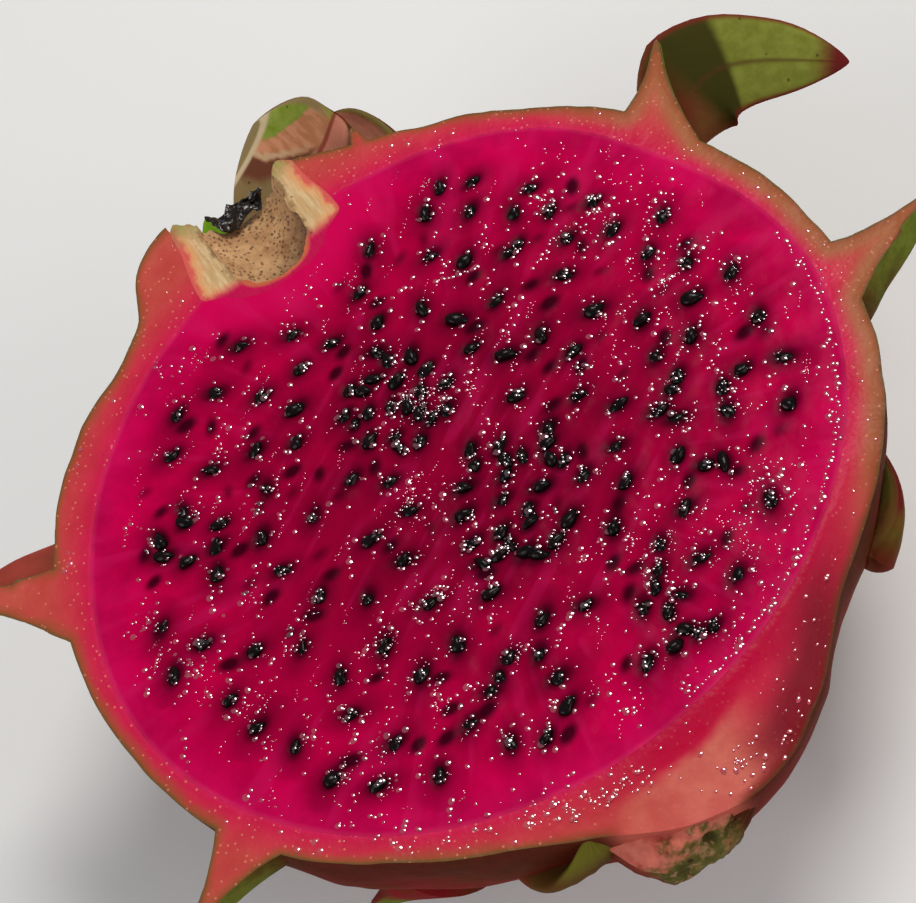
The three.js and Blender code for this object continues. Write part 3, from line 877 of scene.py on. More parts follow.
def juice_places(seeds, rng):
    """Places of the juice beads: chains along the fibres, clusters at seeds, a row along the rim at the lower
    right, and patches on the sloping rind. More chains lie towards the stem and the right."""
    found = []
    for _ in range(CHAINS):
        x, y = rng.uniform(-46, 46, 2)
        if rng.random() > 0.64 + 0.16 / (1 + math.exp(-(x - y - 10) / 14)):
            continue
        count = rng.integers(1, 8)
        slant = rng.normal(FIBRE_LEAN, 0.5)
        gaps = rng.uniform(0.5, 1.3, count).cumsum()
        chain = np.stack([x + gaps * math.cos(slant), y + gaps * math.sin(slant)])
        found.append((chain + rng.normal(0, 0.25, (2, count))).T)
    for middle in seeds[:, :2]:
        found.append(middle + rng.normal(0, 0.8, (rng.integers(2, 9), 2)))
    rim = np.radians(np.arange(-82, 5, 0.9) + rng.normal(0, 0.25, 97))
    rim_radius = outline_radius(FLESH_OUTLINE, np.degrees(rim)) - 1.1 + rng.normal(0, 0.16, len(rim))
    found.append(np.stack(polar(rim_radius, rim), -1))
    found.append(rng.uniform(-42, 42, (LONE_BEADS, 2)))
    for middle, spread in JUICE_CLUSTERS:
        found.append(np.array(middle) + rng.normal(0, spread, (BEADS_IN_CLUSTER, 2)))
    places = np.concatenate(found)
    places = places[(past_flesh(*places.T) < -0.3) | (rng.random(len(places)) < 0.3)]
    for angle, spread, low, high, count in JUICE_ON_RIND:
        degrees = angle + rng.normal(0, spread, count)
        inner = outline_radius(FLESH_OUTLINE, degrees)
        radius = inner + (outline_radius(RIND_OUTLINE, degrees) - inner) * rng.uniform(low, high, count)
        places = np.concatenate([places, np.stack(polar(radius, np.radians(degrees)), -1)])
    x, y = places.T
    on_fruit = np.hypot(x, y) < outline_radius(RIND_OUTLINE, plan_angle(x, y)) - 0.8
    return places[on_fruit & (share_of_oval(x, y, CLEAR_OF_JUICE) > 1)]


def speck_places(seeds, rng):
    """Places of the finest specks: a froth over the clusters, a few at each seed, and slanting streaks."""
    found = [np.array(middle) + rng.normal(0, 1.3 * spread, (SPECKS_IN_CLUSTER, 2))
             for middle, spread in JUICE_CLUSTERS]
    at_seeds = np.repeat(seeds[:, :2], SPECKS_AT_SEED, axis=0)
    found.append(at_seeds + rng.normal(0, 0.75, at_seeds.shape))
    starts = rng.uniform(-44, 44, (STREAKS, 1, 2))
    slant = rng.normal(FIBRE_LEAN, 0.25, (STREAKS, 1))
    gaps = rng.uniform(0.25, 0.7, (STREAKS, SPECKS_IN_STREAK)).cumsum(1)
    streaks = np.stack(polar(gaps, slant), -1) + rng.normal(0, 0.12, (STREAKS, SPECKS_IN_STREAK, 2))
    found.append((starts + streaks).reshape(-1, 2))
    places = np.concatenate(found)
    x, y = places.T
    return places[(past_flesh(x, y) < -1) & (share_of_oval(x, y, CLEAR_OF_JUICE) > 1)]


def make_beads(name, material, places, size, sides, rng, seeds, sunk):
    """Shallow beads of juice: low domes that lie on the flesh and on the cut rind, closed underneath."""
    x, y = places.T
    from_flesh = past_flesh(x, y)
    height = np.where(from_flesh < 0, flesh_height(x, y, seeds, sunk), cut_height(x, y))
    on_seed = seed_nearness(x, y, seeds, 0.9)
    height += np.where(on_seed > 0.25, 0.75 * on_seed, 0)
    out = np.linspace(0, 1, sides // 2)[1:, None]
    across = polar(out, np.linspace(0, FULL_TURN, sides, endpoint=False))
    dome = np.stack([*across, np.broadcast_to(1 - out**2, (len(out), sides))], -1)
    shape, quads, fans = closed_rings(dome, (0, 0, 1), (0, 0, -0.4))
    scales = np.stack([size, size * rng.uniform(0.65, 1, len(size)), BEAD_HEIGHT * size], -1)
    lean = rng.normal(0, 0.06, (2, len(size)))
    turns = turn_matrices(rng.uniform(0, math.pi, len(size)), *lean)
    spots = np.stack([x, y, height + 0.01], -1)
    piece = many_copies(name, shape, (quads, fans), spots, turns, scales)
    dark = np.maximum(seed_nearness(x, y, seeds, 1.5), seed_nearness(x, y, sunk, 1.1))
    on_rind = smooth_step(from_flesh, 0, 1.5)
    set_values(piece.data, dark=np.repeat(dark, len(shape)), on_rind=np.repeat(on_rind, len(shape)))
    give_materials(piece.data, material)
    finish_piece(piece, 60, "flesh")


def make_juice(material, seeds, sunk):
    """Beads of five sizes, and specks that are finer still."""
    rng = np.random.default_rng(81)
    places = juice_places(seeds, rng)
    size = rng.choice(BEAD_SIZES, len(places), p=BEAD_SHARES)
    make_beads("juice_beads", material, places, size, BEAD_SIDES, rng, seeds, sunk)
    places = speck_places(seeds, rng)
    size = rng.uniform(*SPECK_SIZES, len(places))
    make_beads("juice_specks", material, places, size, SPECK_SIDES, rng, seeds, sunk)


# Flower end

def cup_relief(rings):
    """Roughens the inner wall of the cup and frays its mouth."""
    outward = rings - np.array([CUP_AXIS_X, 0, 0])
    outward[..., 1] = 0
    outward /= np.linalg.norm(outward, axis=-1, keepdims=True) + 1e-9
    inside = smooth_step(np.arange(rings.shape[0]) / rings.shape[0], 0.56, 0.66)[:, None]
    moved = rings + outward * (layered(rings, CUP_ROUGHNESS) * inside)[..., None]
    moved[..., 1] += smooth_step(rings[..., 1], 52, 56.5) * (0.9 * lumps(rings, 1.3, 93) - 0.4)
    return moved


def make_scar(wall_material, cut_material):
    """The corky cup: its profile turned round its axis, with a rough wall and a frayed mouth, cut in half."""
    rounded = smooth_profile()
    piece = turned("flower_cup", rounded, cup_relief)
    combine(piece, [knife()], "DIFFERENCE")
    mesh = piece.data
    give_materials(mesh, wall_material, cut_material, is_on_cut(*read_faces(mesh)))
    x, y, z = read_points(mesh).T
    mouth = np.argmax(rounded[:, 1])
    across = np.stack([np.hypot(x - CUP_AXIS_X, z), y], -1)
    to_mouth = (y - 40) / 17
    set_values(
        mesh, from_flesh=nearest(across, rounded[:mouth]), from_hole=nearest(across, rounded[mouth:]),
        to_mouth=to_mouth, to_corner=to_mouth - (x - CUP_AXIS_X) / 28)
    finish_piece(piece, 42, "scar", "flower_scar")


def make_remnant(material):
    """Withered black scrap of the flower, a crumpled leaf lying in the cup near its mouth."""
    level = ((0, 1, 0), (0, 1, 0))
    piece = scale_piece(REMNANT, REMNANT_LINE, level, REMNANT_WIDTH, 1.0, blade=0.55, taper=0.4)
    piece.name = "dried_flower"
    crumple(piece.data, 1.5, 0.9, 95)
    crumple(piece.data, 0.6, 0.4, 98)
    give_materials(piece.data, material)
    finish_piece(piece, 50, "remnant", "flower_remnant")


# Shader tools

def colour(red, green, blue):
    """Linear colour from everyday 0 to 255 values."""
    return tuple((c / 255 / 12.92 if c <= 10 else ((c / 255 + 0.055) / 1.055) ** 2.4)
                 for c in (red, green, blue)) + (1.0,)


class Shader:
    """A node tree and short ways to add to it. Each gives the output of the node that it adds. A colour is
    an output or three everyday values."""

    def __init__(self, tree, groups=None):
        self.tree = tree
        self.groups = groups

    def feed(self, made, inputs):
        """Links or sets the inputs of a node."""
        for name, value in inputs.items():
            if isinstance(value, bpy.types.NodeSocket):
                self.tree.links.new(value, made.inputs[name])
            else:
                made.inputs[name].default_value = value

    def node(self, kind, inputs, **properties):
        """Adds a node with its properties and inputs, and gives its outputs."""
        made = self.tree.nodes.new(kind)
        for name, value in properties.items():
            setattr(made, name, value)
        self.feed(made, inputs)
        return made.outputs

    def mixed(self, share, first, second):
        """The second colour over the first by a share."""
        first, second = (colour(*tone) if isinstance(tone, tuple) else tone for tone in (first, second))
        return self.node("ShaderNodeMix", {0: share, 6: first, 7: second}, data_type="RGBA")[2]

    def calculated(self, operation, first, second=0.0):
        return self.node("ShaderNodeMath", {0: first, 1: second}, operation=operation)[0]

    def times(self, first, second):
        return self.calculated("MULTIPLY", first, second)

    def plus(self, first, second):
        return self.calculated("ADD", first, second)

    def minus(self, first, second):
        return self.calculated("SUBTRACT", first, second)

    def apart(self, first, second):
        """How far two values are from each other."""
        return self.calculated("ABSOLUTE", self.minus(first, second))

    def between(self, value, low, high, bottom=0.0, top=1.0):
        """A value's place between low and high, held inside bottom and top."""
        inputs = {"Value": value, "From Min": low, "From Max": high, "To Min": bottom, "To Max": top}
        return self.node("ShaderNodeMapRange", inputs, interpolation_type="SMOOTHSTEP")[0]

    def attribute(self, name):
        return self.node("ShaderNodeAttribute", {}, attribute_name=name)["Fac"]

    def banded(self, value, stops):
        """Colours along a value, from (place, colour) stops."""
        made = self.tree.nodes.new("ShaderNodeValToRGB")
        self.feed(made, {"Fac": value})
        elements = made.color_ramp.elements
        while len(elements) < len(stops):
            elements.new(0.5)
        for element, (place, tone) in zip(elements, stops):
            element.position = place
            element.color = colour(*tone)
        return made.outputs["Color"]

    def place(self):
        """Where a point lies in the part, in metres."""
        return self.node("ShaderNodeTexCoord", {})["Object"]

    def map(self, name):
        return self.node("ShaderNodeUVMap", {}, uv_map=name)["UV"]

    def parts(self, vector):
        return self.node("ShaderNodeSeparateXYZ", {"Vector": vector})

    def fibres(self, per_metre, squeeze):
        """Noise drawn out along +Y."""
        drawn_out = self.node("ShaderNodeMapping", {"Vector": self.place(), "Scale": (1.0, squeeze, 1.0)})[0]
        inputs = {"Vector": drawn_out, "Scale": per_metre, "Detail": 3.0}
        return self.node("ShaderNodeTexNoise", inputs)["Fac"]

    def group(self, name, inputs):
        return self.node("ShaderNodeGroup", inputs, node_tree=self.groups[name])[0]

    def mottle(self, per_metre, contrast):
        return self.group("mottle", {"Per metre": per_metre, "Contrast": contrast})

    def specks(self, per_metre, size, share):
        return self.group("specks", {"Per metre": per_metre, "Size": size, "Share": share})

    def grain(self, per_metre):
        return self.group("grain", {"Per metre": per_metre})

    def bumped(self, height, distance, strength=1.0):
        """Normal of a bump of that height, in metres."""
        return self.node("ShaderNodeBump", {"Height": height, "Distance": distance, "Strength": strength})[0]


class Paint(Shader):
    """The shader of a new material with a Principled surface."""

    def __init__(self, name, groups=None):
        self.material = bpy.data.materials.new(name)
        self.material.use_nodes = True
        super().__init__(self.material.node_tree, groups)

    def finish(self, inputs):
        """Links or sets the surface's inputs, and gives the material."""
        self.feed(self.tree.nodes["Principled BSDF"], inputs)
        return self.material


def new_group(name, inputs, output):
    """A shader group with named number inputs and one output: its shader, its given values and its end."""
    tree = bpy.data.node_groups.new(name, "ShaderNodeTree")
    for label, value in inputs.items():
        tree.interface.new_socket(label, in_out="INPUT", socket_type="NodeSocketFloat").default_value = value
    tree.interface.new_socket(output, in_out="OUTPUT", socket_type="NodeSocketFloat")
    return Shader(tree), tree.nodes.new("NodeGroupInput").outputs, tree.nodes.new("NodeGroupOutput")


def mottle_group():
    """Soft blotches from 0 to 1: noise of a given size, with its contrast raised."""
    shader, given, end = new_group("mottle", {"Per metre": 200.0, "Contrast": 0.3}, "Value")
    noise = shader.node("ShaderNodeTexNoise", {"Vector": shader.place(), "Scale": given["Per metre"],
                                               "Detail": 4.0, "Roughness": 0.6})["Fac"]
    low = shader.minus(0.5, given["Contrast"])
    high = shader.plus(0.5, given["Contrast"])
    shader.feed(end, {"Value": shader.between(noise, low, high)})
    return shader.tree


def speck_group():
    """Scattered round specks from 0 to 1: nearness to random points, of which a share is left in."""
    shader, given, end = new_group("specks", {"Per metre": 900.0, "Size": 0.2, "Share": 0.5}, "Value")
    cells = shader.node("ShaderNodeTexVoronoi", {"Vector": shader.place(), "Scale": given["Per metre"]})
    dot = shader.between(cells["Distance"], given["Size"], shader.times(given["Size"], 0.5))
    chance = shader.node("ShaderNodeSeparateColor", {"Color": cells["Color"]})["Red"]
    chosen = shader.calculated("LESS_THAN", chance, given["Share"])
    shader.feed(end, {"Value": shader.times(dot, chosen)})
    return shader.tree


def grain_group():
    """Height of a moist surface from 0 to 1: round pimples over soft noise of the same size."""
    shader, given, end = new_group("moist_grain", {"Per metre": 1500.0}, "Height")
    inputs = {"Vector": shader.place(), "Scale": given["Per metre"]}
    noise = shader.node("ShaderNodeTexNoise", {**inputs, "Detail": 2.0})["Fac"]
    cells = shader.node("ShaderNodeTexVoronoi", inputs, feature="SMOOTH_F1")
    pimples = shader.minus(1.0, cells["Distance"])
    shader.feed(end, {"Height": shader.plus(shader.times(noise, 0.6), shader.times(pimples, 0.4))})
    return shader.tree


# Materials

def flesh_material(groups):
    """Crimson pulp: brighter at its edge and round the cup, darker in the middle, with painted shade round
    seeds, and wet.
    """
    paint = Paint("wet_flesh", groups)
    tone = paint.banded(paint.calculated("DIVIDE", paint.attribute("from_edge"), 40.0), [
        (0.0, (222, 44, 100)), (0.015, (212, 10, 86)), (0.1, (212, 0, 78)), (0.26, (202, 0, 70)),
        (0.75, (158, 0, 51)),
    ])
    tone = paint.mixed(paint.times(paint.mottle(130.0, 0.2), 0.45), tone, (126, 0, 42))
    cup_glow = paint.between(paint.attribute("from_cup"), 0.75, 0.05, 0.0, 0.85)
    tone = paint.mixed(cup_glow, tone, (216, 8, 84))
    fibre = paint.between(paint.attribute("fibre"), 0.55, 0.9, 0.0, 0.26)
    tone = paint.mixed(fibre, tone, (214, 30, 100))
    # Painted shade round each seed: a wide soft darkening, and a darker one close in
    shade = paint.attribute("seed_shade")
    tone = paint.mixed(paint.times(shade, 0.85), tone, (92, 0, 32))
    tone = paint.mixed(paint.between(shade, 0.6, 1.0, 0.0, 0.8), tone, (42, 0, 16))
    sunk = paint.between(paint.attribute("sunk_seed"), 0.08, 0.85, 0.0, 0.94)
    tone = paint.mixed(sunk, tone, (46, 0, 18))
    return paint.finish({
        "Base Color": tone, "Normal": paint.bumped(paint.grain(1300.0), 0.00005, 0.8),
        "Roughness": 0.3, "Specular IOR Level": 0.018,
    })


def seed_material(groups):
    """Glossy black seed coat with a faint brown cast."""
    paint = Paint("black_seed", groups)
    normal = paint.bumped(paint.grain(2200.0), 0.00008, 0.8)
    return paint.finish({
        "Base Color": paint.mixed(paint.mottle(900.0, 0.2), (8, 6, 7), (22, 10, 12)),
        "Normal": normal, "Coat Normal": normal, "Roughness": 0.25, "Specular IOR Level": 0.12,
        "Coat Weight": 0.12, "Coat Roughness": 0.04,
    })


def juice_material():
    """Juice over what it lies on: crimson, darker on seeds and redder on the rind, with a hard gloss."""
    paint = Paint("juice")
    tone = paint.mixed(paint.attribute("dark"), (184, 0, 66), (36, 2, 14))
    return paint.finish({
        "Base Color": paint.mixed(paint.attribute("on_rind"), tone, (204, 56, 72)),
        "Roughness": 0.08, "Specular IOR Level": 1.0,
        "Coat Weight": 1.0, "Coat Roughness": 0.02, "Coat IOR": 2.4,
    })


def cut_rind_material(groups):
    """Cut rind: pink at the flesh, salmon in its middle, orange-brown and olive at the skin. It is redder
    on the slope and tan along the right side, and it has pale specks that are painted glints."""
    paint = Paint("cut_rind", groups)
    slope = paint.attribute("slope")
    wander = paint.times(paint.times(paint.mottle(75.0, 0.3), slope), 2.4)
    inner = paint.plus(paint.attribute("from_flesh"), wander)
    outer = paint.attribute("from_skin")
    share = paint.calculated("DIVIDE", inner, 16.0)
    tone = paint.banded(share, [
        (0.0, (222, 34, 92)), (0.04, (216, 28, 78)), (0.13, (214, 52, 74)), (0.32, (204, 78, 70)),
        (1.0, (206, 100, 80)),
    ])
    sloping = paint.banded(share, [
        (0.0, (210, 16, 80)), (0.03, (190, 0, 62)), (0.2, (200, 0, 60)), (0.32, (216, 40, 74)),
        (0.6, (206, 52, 72)), (1.0, (190, 50, 62)),
    ])
    salmon = paint.times(paint.attribute("salmon"), paint.between(inner, 3.6, 5.4))
    sloping = paint.mixed(salmon, sloping, (224, 118, 102))
    tone = paint.mixed(paint.between(slope, 0.2, 0.8), tone, sloping)
    tone = paint.mixed(paint.times(paint.mottle(260.0, 0.22), 0.4), tone, (186, 34, 52))
    deep_edge = paint.times(paint.between(outer, 7.0, 2.5, 0.0, 0.9), paint.attribute("deep_red"))
    tone = paint.mixed(deep_edge, tone, (128, 14, 32))
    tan = paint.times(paint.between(outer, 3.6, 0.9, 0.0, 0.8), paint.attribute("tan_side"))
    tone = paint.mixed(tan, tone, (166, 112, 66))
    clear_of_stump = paint.minus(1.0, paint.attribute("at_stump"))
    reach = paint.between(paint.mottle(90.0, 0.3), 0.0, 1.0, 0.8, 2.4)
    brown = paint.times(paint.between(outer, reach, 0.25, 0.0, 0.85), clear_of_stump)
    tone = paint.mixed(brown, tone, paint.mixed(slope, (158, 82, 48), (126, 24, 26)))
    narrow = paint.times(reach, 0.32)
    olive = paint.times(paint.between(outer, narrow, 0.05, 0.0, 0.85), clear_of_stump)
    tone = paint.mixed(olive, tone, paint.mixed(slope, (104, 84, 42), (92, 56, 30)))
    # Painted glints: pale specks of the moist cut, fewer on the slope
    specks = paint.times(paint.specks(1500.0, 0.3, 0.4), paint.between(slope, 0.1, 0.7, 0.5, 0.1))
    return paint.finish({
        "Base Color": paint.mixed(specks, tone, (236, 150, 120)),
        "Normal": paint.bumped(paint.grain(1700.0), 0.00012, 1.0),
        "Roughness": 0.4, "Specular IOR Level": 0.12,
    })


def is_scale(paint, index):
    """1 on the scale that has that place in the list of rim scales."""
    number = paint.times(paint.parts(paint.map("number"))["X"], NUMBER_STEP)
    return paint.node("ShaderNodeMath", {0: number, 1: index + 1.0, 2: 0.3}, operation="COMPARE")[0]


def painted_stump(paint, under, along, upward):
    """The stump: salmon ridges on top, brown below, painted shade in dark brown down its right side,
    and a green corky end with pale bits and dark pits.
    """
    coarse = paint.mottle(330.0, 0.18)
    fine = paint.mottle(900.0, 0.2)
    top = paint.mixed(coarse, (220, 122, 104), (186, 66, 60))
    tone = paint.mixed(paint.between(upward, 0.35, 0.8), (104, 42, 30), top)
    cork = paint.mixed(coarse, (106, 102, 50), (74, 66, 32))
    cork = paint.mixed(paint.between(fine, 0.55, 0.95, 0.0, 0.8), cork, (168, 128, 92))
    cork = paint.mixed(paint.times(paint.specks(620.0, 0.3, 0.45), 0.8), cork, (56, 34, 22))
    wander = paint.plus(along, paint.times(coarse, 0.22))
    tone = paint.mixed(paint.between(wander, 0.86, 1.04), tone, cork)
    # Painted shade: the stump's right side is darker brown
    aside = paint.plus(paint.parts(paint.place())["X"], paint.times(coarse, 0.0015))
    tone = paint.mixed(paint.between(aside, 0.0015, 0.004), tone, (84, 40, 22))
    return paint.mixed(is_scale(paint, STUMP), under, tone)


def painted_blade(paint, under, along, across, fine):
    """The whole blade: a dark olive painted shadow near its root, yellow-green beyond, a dark rib, red
    margins and tip.
    """
    # Painted shadow: dark olive from the root to a little past the middle; the blade's own yellow-green lies
    # beyond
    outer = paint.between(paint.plus(along, paint.times(across, 0.06)), 0.56, 0.61)
    tone = paint.mixed(outer, (64, 60, 24), paint.mixed(fine, (116, 120, 44), (136, 140, 60)))
    rib = paint.between(paint.apart(across, 0.47), 0.05, 0.0, 0.0, 0.65)
    tone = paint.mixed(rib, tone, (84, 58, 32))
    tone = paint.mixed(paint.between(paint.apart(across, 0.5), 0.42, 0.5), tone, (120, 44, 36))
    tone = paint.mixed(paint.between(along, 0.88, 0.97), tone, (106, 34, 32))
    share = paint.times(is_scale(paint, BLADE), paint.between(along, 0.2, 0.36))
    return paint.mixed(share, under, tone)


def painted_broad_bract(paint, along, across, fine):
    """Inside of the broad bract: pinkish brown with streaks, a green patch that narrows along the upper
    margin, a cream rim round its end, and tan beyond that. Under the fold its lower part has a band of brown
    painted shade."""
    streaks = paint.fibres(900.0, 0.2)
    tone = paint.mixed(paint.between(streaks, 0.4, 0.62), (218, 150, 112), (196, 130, 90))
    side = paint.plus(across, paint.times(streaks, 0.12))
    narrowing = paint.between(along, 0.74, 0.92, 0.98, 0.5)
    green = paint.between(paint.minus(side, narrowing), 0.0, 0.08)
    tone = paint.mixed(green, tone, paint.mixed(fine, (124, 146, 40), (156, 166, 76)))
    margin = paint.times(paint.between(across, 0.9, 0.96), paint.between(along, 0.6, 0.75))
    tone = paint.mixed(margin, tone, (158, 134, 88))
    fold = paint.plus(side, paint.minus(paint.times(along, 1.52), 1.74))
    hem = paint.between(paint.calculated("ABSOLUTE", fold), 0.06, 0.0, 0.0, 0.8)
    tone = paint.mixed(paint.times(hem, paint.between(along, 0.6, 0.8)), tone, (210, 180, 140))
    # Painted shade: a brown band just under the fold
    shade = paint.times(paint.between(fold, 0.0, -0.06), paint.between(along, 0.56, 0.66))
    tone = paint.mixed(shade, tone, (116, 68, 50))
    low = paint.times(paint.between(fold, -0.16, -0.3), paint.between(along, 0.6, 0.7))
    tone = paint.mixed(low, tone, (142, 118, 78))
    tone = paint.mixed(paint.between(along, 0.6, 0.52), tone, (222, 140, 114))
    crease = paint.between(paint.apart(along, 0.57), 0.03, 0.01, 0.0, 0.8)
    tone = paint.mixed(crease, tone, (150, 56, 48))
    end = paint.minus(along, paint.times(paint.minus(across, 0.5), 0.1))
    tone = paint.mixed(paint.between(end, 0.915, 0.935), tone, (214, 190, 150))
    return paint.mixed(paint.between(end, 0.95, 0.965), tone, (150, 128, 86))


def painted_bracts(paint, under, along, across, fine):
    """The bracts at the flower end: the insides of the two beside the cup, and the green tip below it."""
    inside = paint.between(paint.attribute("outward"), 0.25, 0.0)
    broad = painted_broad_bract(paint, along, across, fine)
    tone = paint.mixed(paint.times(is_scale(paint, BRACT), inside), under, broad)
    margin = paint.between(paint.apart(across, 0.5), 0.36, 0.46)
    second = paint.mixed(margin, (222, 140, 116), (150, 50, 44))
    second = paint.mixed(paint.between(across, 0.86, 0.97), second, (142, 126, 70))
    tone = paint.mixed(paint.times(is_scale(paint, SECOND_BRACT), inside), tone, second)
    tip = paint.times(is_scale(paint, LOW_BRACT), paint.between(along, 0.5, 0.7))
    return paint.mixed(tip, tone, (116, 158, 34))


def skin_material(groups):
    """Waxy skin: brownish red, greener along each scale to an olive blade with dark red margins and tip."""
    paint = Paint("rind_skin", groups)
    pair = paint.parts(paint.map("scale"))
    along, across = pair["X"], pair["Y"]
    blotch = paint.mottle(110.0, 0.22)
    fine = paint.mottle(700.0, 0.3)
    tone = paint.mixed(blotch, (132, 22, 30), (92, 46, 20))
    tone = paint.mixed(paint.times(fine, 0.4), tone, (140, 40, 36))
    height = paint.parts(paint.place())["Z"]
    # Painted shade: a dark brown band on the skin just below the cut
    rim_shade = paint.between(height, 0.03, 0.044, 0.0, 0.75)
    tone = paint.mixed(rim_shade, tone, paint.mixed(fine, (54, 30, 10), (76, 34, 14)))
    green = paint.between(paint.plus(along, paint.times(blotch, 0.25)), 0.35, 0.8)
    tone = paint.mixed(green, tone, paint.mixed(fine, (92, 106, 34), (122, 130, 50)))
    margin = paint.between(paint.apart(across, 0.5), 0.41, 0.49)
    tone = paint.mixed(paint.times(margin, paint.between(along, 0.3, 0.5)), tone, (104, 34, 30))
    tone = paint.mixed(paint.between(along, 0.93, 0.99), tone, (96, 26, 26))
    inner = paint.between(paint.attribute("outward"), 0.1, -0.3, 0.0, 0.35)
    tone = paint.mixed(inner, tone, (150, 104, 62))
    spur = paint.times(is_scale(paint, LEFT_SPUR), paint.between(height, 0.038, 0.043))
    tone = paint.mixed(spur, tone, paint.mixed(blotch, (176, 70, 60), (140, 62, 44)))
    beside_stump = paint.times(is_scale(paint, STUMP_BRACT), paint.between(height, 0.028, 0.034))
    leaf = paint.mixed(paint.between(height, 0.037, 0.043), (96, 64, 28), (112, 106, 36))
    tone = paint.mixed(beside_stump, tone, leaf)
    tone = paint.mixed(paint.attribute("at_stump"), tone, (190, 92, 78))
    tone = painted_stump(paint, tone, along, across)
    tone = painted_blade(paint, tone, along, across, fine)
    tone = painted_bracts(paint, tone, along, across, fine)
    dots = paint.times(paint.specks(420.0, 0.12, 0.25), 0.6)
    return paint.finish({
        "Base Color": paint.mixed(dots, tone, (48, 26, 18)),
        "Normal": paint.bumped(paint.grain(900.0), 0.00015, 0.7),
        "Roughness": 0.6, "Specular IOR Level": 0.015,
    })


def scar_wall_material(groups):
    """Dry cork: tan with dark brown dots, with painted shade in the bottom of the cup, deepest towards its
    right.
    """
    paint = Paint("cork_wall", groups)
    tone = paint.mixed(paint.mottle(320.0, 0.2), (226, 180, 128), (192, 144, 98))
    # Painted shade: darker towards the bottom of the cup and its right side
    cup_bottom_shade = paint.between(paint.attribute("to_corner"), 0.5, 0.05, 0.0, 0.75)
    tone = paint.mixed(cup_bottom_shade, tone, (96, 60, 44))
    dots = paint.times(paint.specks(1700.0, 0.46, 0.8), 0.75)
    return paint.finish({
        "Base Color": paint.mixed(dots, tone, (84, 52, 34)),
        "Normal": paint.bumped(paint.grain(1500.0), 0.0004), "Roughness": 0.85,
    })


def scar_cut_material(groups):
    """Cut cork: cream fibres along the cup, orange and then red at the flesh, brown at the hole, and greenish
    tan at the mouth. Its thin bottom is pulp."""
    paint = Paint("cork_cut", groups)
    fibres = paint.fibres(2200.0, 0.12)
    tone = paint.mixed(paint.between(fibres, 0.38, 0.64), (228, 200, 152), (206, 168, 116))
    blotch = paint.mottle(420.0, 0.2)
    tone = paint.mixed(paint.times(blotch, 0.5), tone, (212, 166, 116))
    from_hole = paint.attribute("from_hole")
    hole = paint.plus(from_hole, paint.times(blotch, 0.9))
    tone = paint.mixed(paint.between(hole, 1.5, 0.5, 0.0, 0.9), tone, (140, 104, 66))
    dots = paint.times(paint.specks(1100.0, 0.3, 0.5), paint.between(hole, 2.4, 0.8, 0.0, 0.8))
    tone = paint.mixed(dots, tone, (70, 44, 28))
    flesh_side = paint.minus(paint.attribute("from_flesh"), paint.times(blotch, 0.8))
    tone = paint.mixed(paint.between(flesh_side, 2.4, 0.3, 0.0, 0.8), tone, (238, 160, 104))
    tone = paint.mixed(paint.between(flesh_side, 0.7, -0.1, 0.0, 0.9), tone, (222, 84, 84))
    to_mouth = paint.attribute("to_mouth")
    pulp = paint.mixed(paint.between(from_hole, 0.15, 0.7), (206, 104, 70), (202, 6, 78))
    tone = paint.mixed(paint.between(to_mouth, 0.26, 0.12), tone, pulp)
    mouth = paint.between(to_mouth, 0.72, 1.0, 0.0, 0.7)
    tone = paint.mixed(mouth, tone, (150, 122, 78))
    leafy = paint.times(mouth, paint.between(blotch, 0.45, 0.75))
    return paint.finish({
        "Base Color": paint.mixed(leafy, tone, (158, 168, 92)), "Normal": paint.bumped(fibres, 0.0003),
        "Roughness": 0.7, "Specular IOR Level": 0.15,
    })


def remnant_material(groups):
    """Dried flower: near black with a broken gloss."""
    paint = Paint("dried_flower", groups)
    return paint.finish({
        "Base Color": paint.mixed(paint.mottle(700.0, 0.2), (18, 15, 13), (44, 34, 26)),
        "Normal": paint.bumped(paint.grain(1300.0), 0.0004), "Roughness": 0.2,
    })


# Stage

def make_floor():
    """Plain pale floor."""
    mesh = bpy.data.meshes.new("floor")
    half = 6.0
    corners = [(-half, -half, 0), (half, -half, 0), (half, half, 0), (-half, half, 0)]
    mesh.from_pydata(corners, [], [(0, 1, 2, 3)])
    floor = bpy.data.objects.new("floor", mesh)
    bpy.context.scene.collection.objects.link(floor)
    mesh.materials.append(Paint("pale_floor").finish({"Base Color": colour(246, 245, 243), "Roughness": 0.7}))


def make_light(name, towards, away, size, power, tone):
    """A round soft light that faces the fruit from a direction."""
    data = bpy.data.lights.new(name, "AREA")
    data.shape = "DISK"
    data.size = size
    data.energy = power
    data.color = tone
    light = bpy.data.objects.new(name, data)
    direction = Vector(towards).normalized()
    light.location = direction * away + Vector((0, 0, FACE_HEIGHT * MM))
    light.rotation_mode = "QUATERNION"
    light.rotation_quaternion = direction.to_track_quat("Z", "Y")
    bpy.context.scene.collection.objects.link(light)


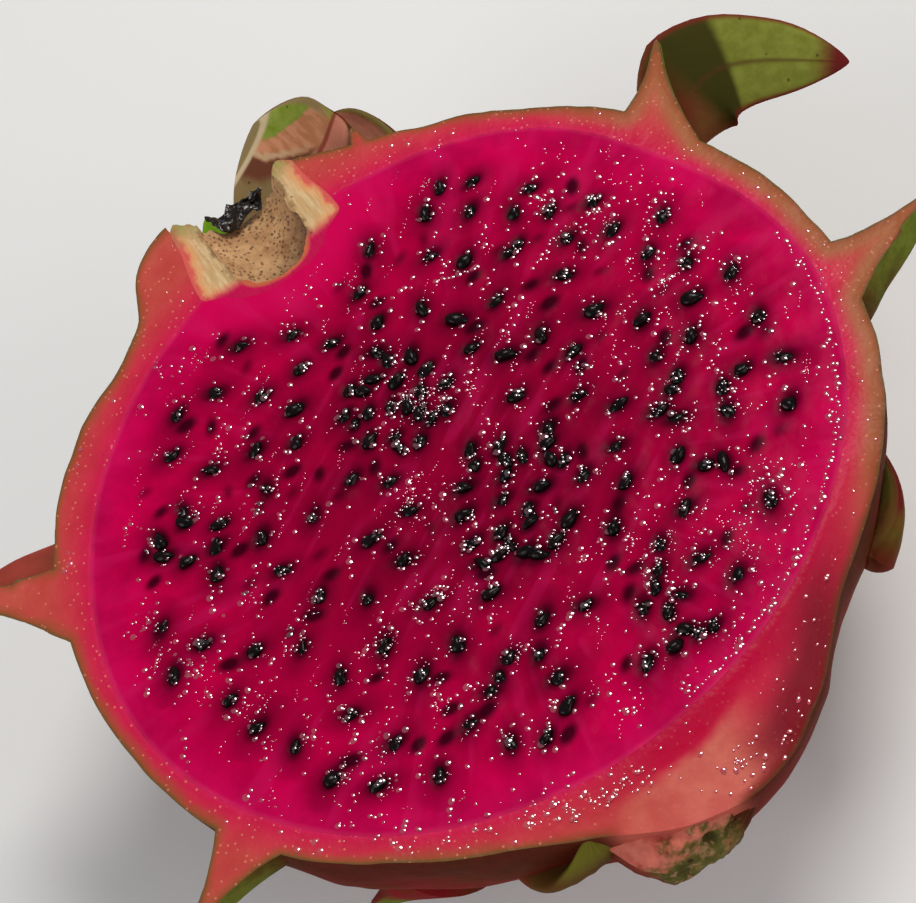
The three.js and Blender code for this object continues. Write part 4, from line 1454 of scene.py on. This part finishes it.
def make_lights():
    """A key light that glints on the juice, two fill lights and a dim even world."""
    make_light("key", (0.42, 0.28, 0.86), 0.9, 0.4, 4.4, (1.0, 0.98, 0.95))
    make_light("fill_left", (-0.85, -0.25, 0.5), 1.6, 1.2, 8.5, (0.95, 0.97, 1.0))
    make_light("fill_right", (0.7, -0.7, 0.5), 1.6, 1.0, 4.5, (1.0, 0.97, 0.94))
    world = bpy.data.worlds.new("studio")
    world.use_nodes = True
    background = world.node_tree.nodes["Background"]
    background.inputs["Color"].default_value = (0.95, 0.97, 1.0, 1.0)
    background.inputs["Strength"].default_value = 0.22
    bpy.context.scene.world = world


def make_camera():
    """The photograph's camera: a long lens that leans to the stem end."""
    back = Vector(CAMERA_FROM).normalized()
    right = Vector(IMAGE_RIGHT)
    right = (right - back * right.dot(back)).normalized()
    up = back.cross(right)
    data = bpy.data.cameras.new("camera")
    data.sensor_width = 36.0
    data.lens = data.sensor_width * FOCAL_PIXELS / IMAGE_WIDTH
    data.shift_x = -(MIDDLE_PIXEL[0] - IMAGE_WIDTH / 2) / IMAGE_WIDTH
    data.shift_y = (MIDDLE_PIXEL[1] - IMAGE_HEIGHT / 2) / IMAGE_WIDTH
    data.clip_start = 0.01
    camera = bpy.data.objects.new("camera", data)
    camera.matrix_world = Matrix((right, up, back)).transposed().to_4x4()
    camera.location = Vector((0, 0, FACE_HEIGHT * MM)) + back * CAMERA_AWAY * MM
    bpy.context.scene.collection.objects.link(camera)
    bpy.context.scene.camera = camera


def main():
    make_camera()
    make_floor()
    make_lights()
    bpy.context.scene.view_settings.view_transform = "Standard"
    groups = {"mottle": mottle_group(), "specks": speck_group(), "grain": grain_group()}
    seeds, sunk = seed_places()
    make_rind(cut_rind_material(groups), skin_material(groups))
    make_flesh(flesh_material(groups), seeds, sunk)
    make_seeds(seed_material(groups), seeds)
    make_juice(juice_material(), seeds, sunk)
    make_scar(scar_wall_material(groups), scar_cut_material(groups))
    make_remnant(remnant_material(groups))


main()
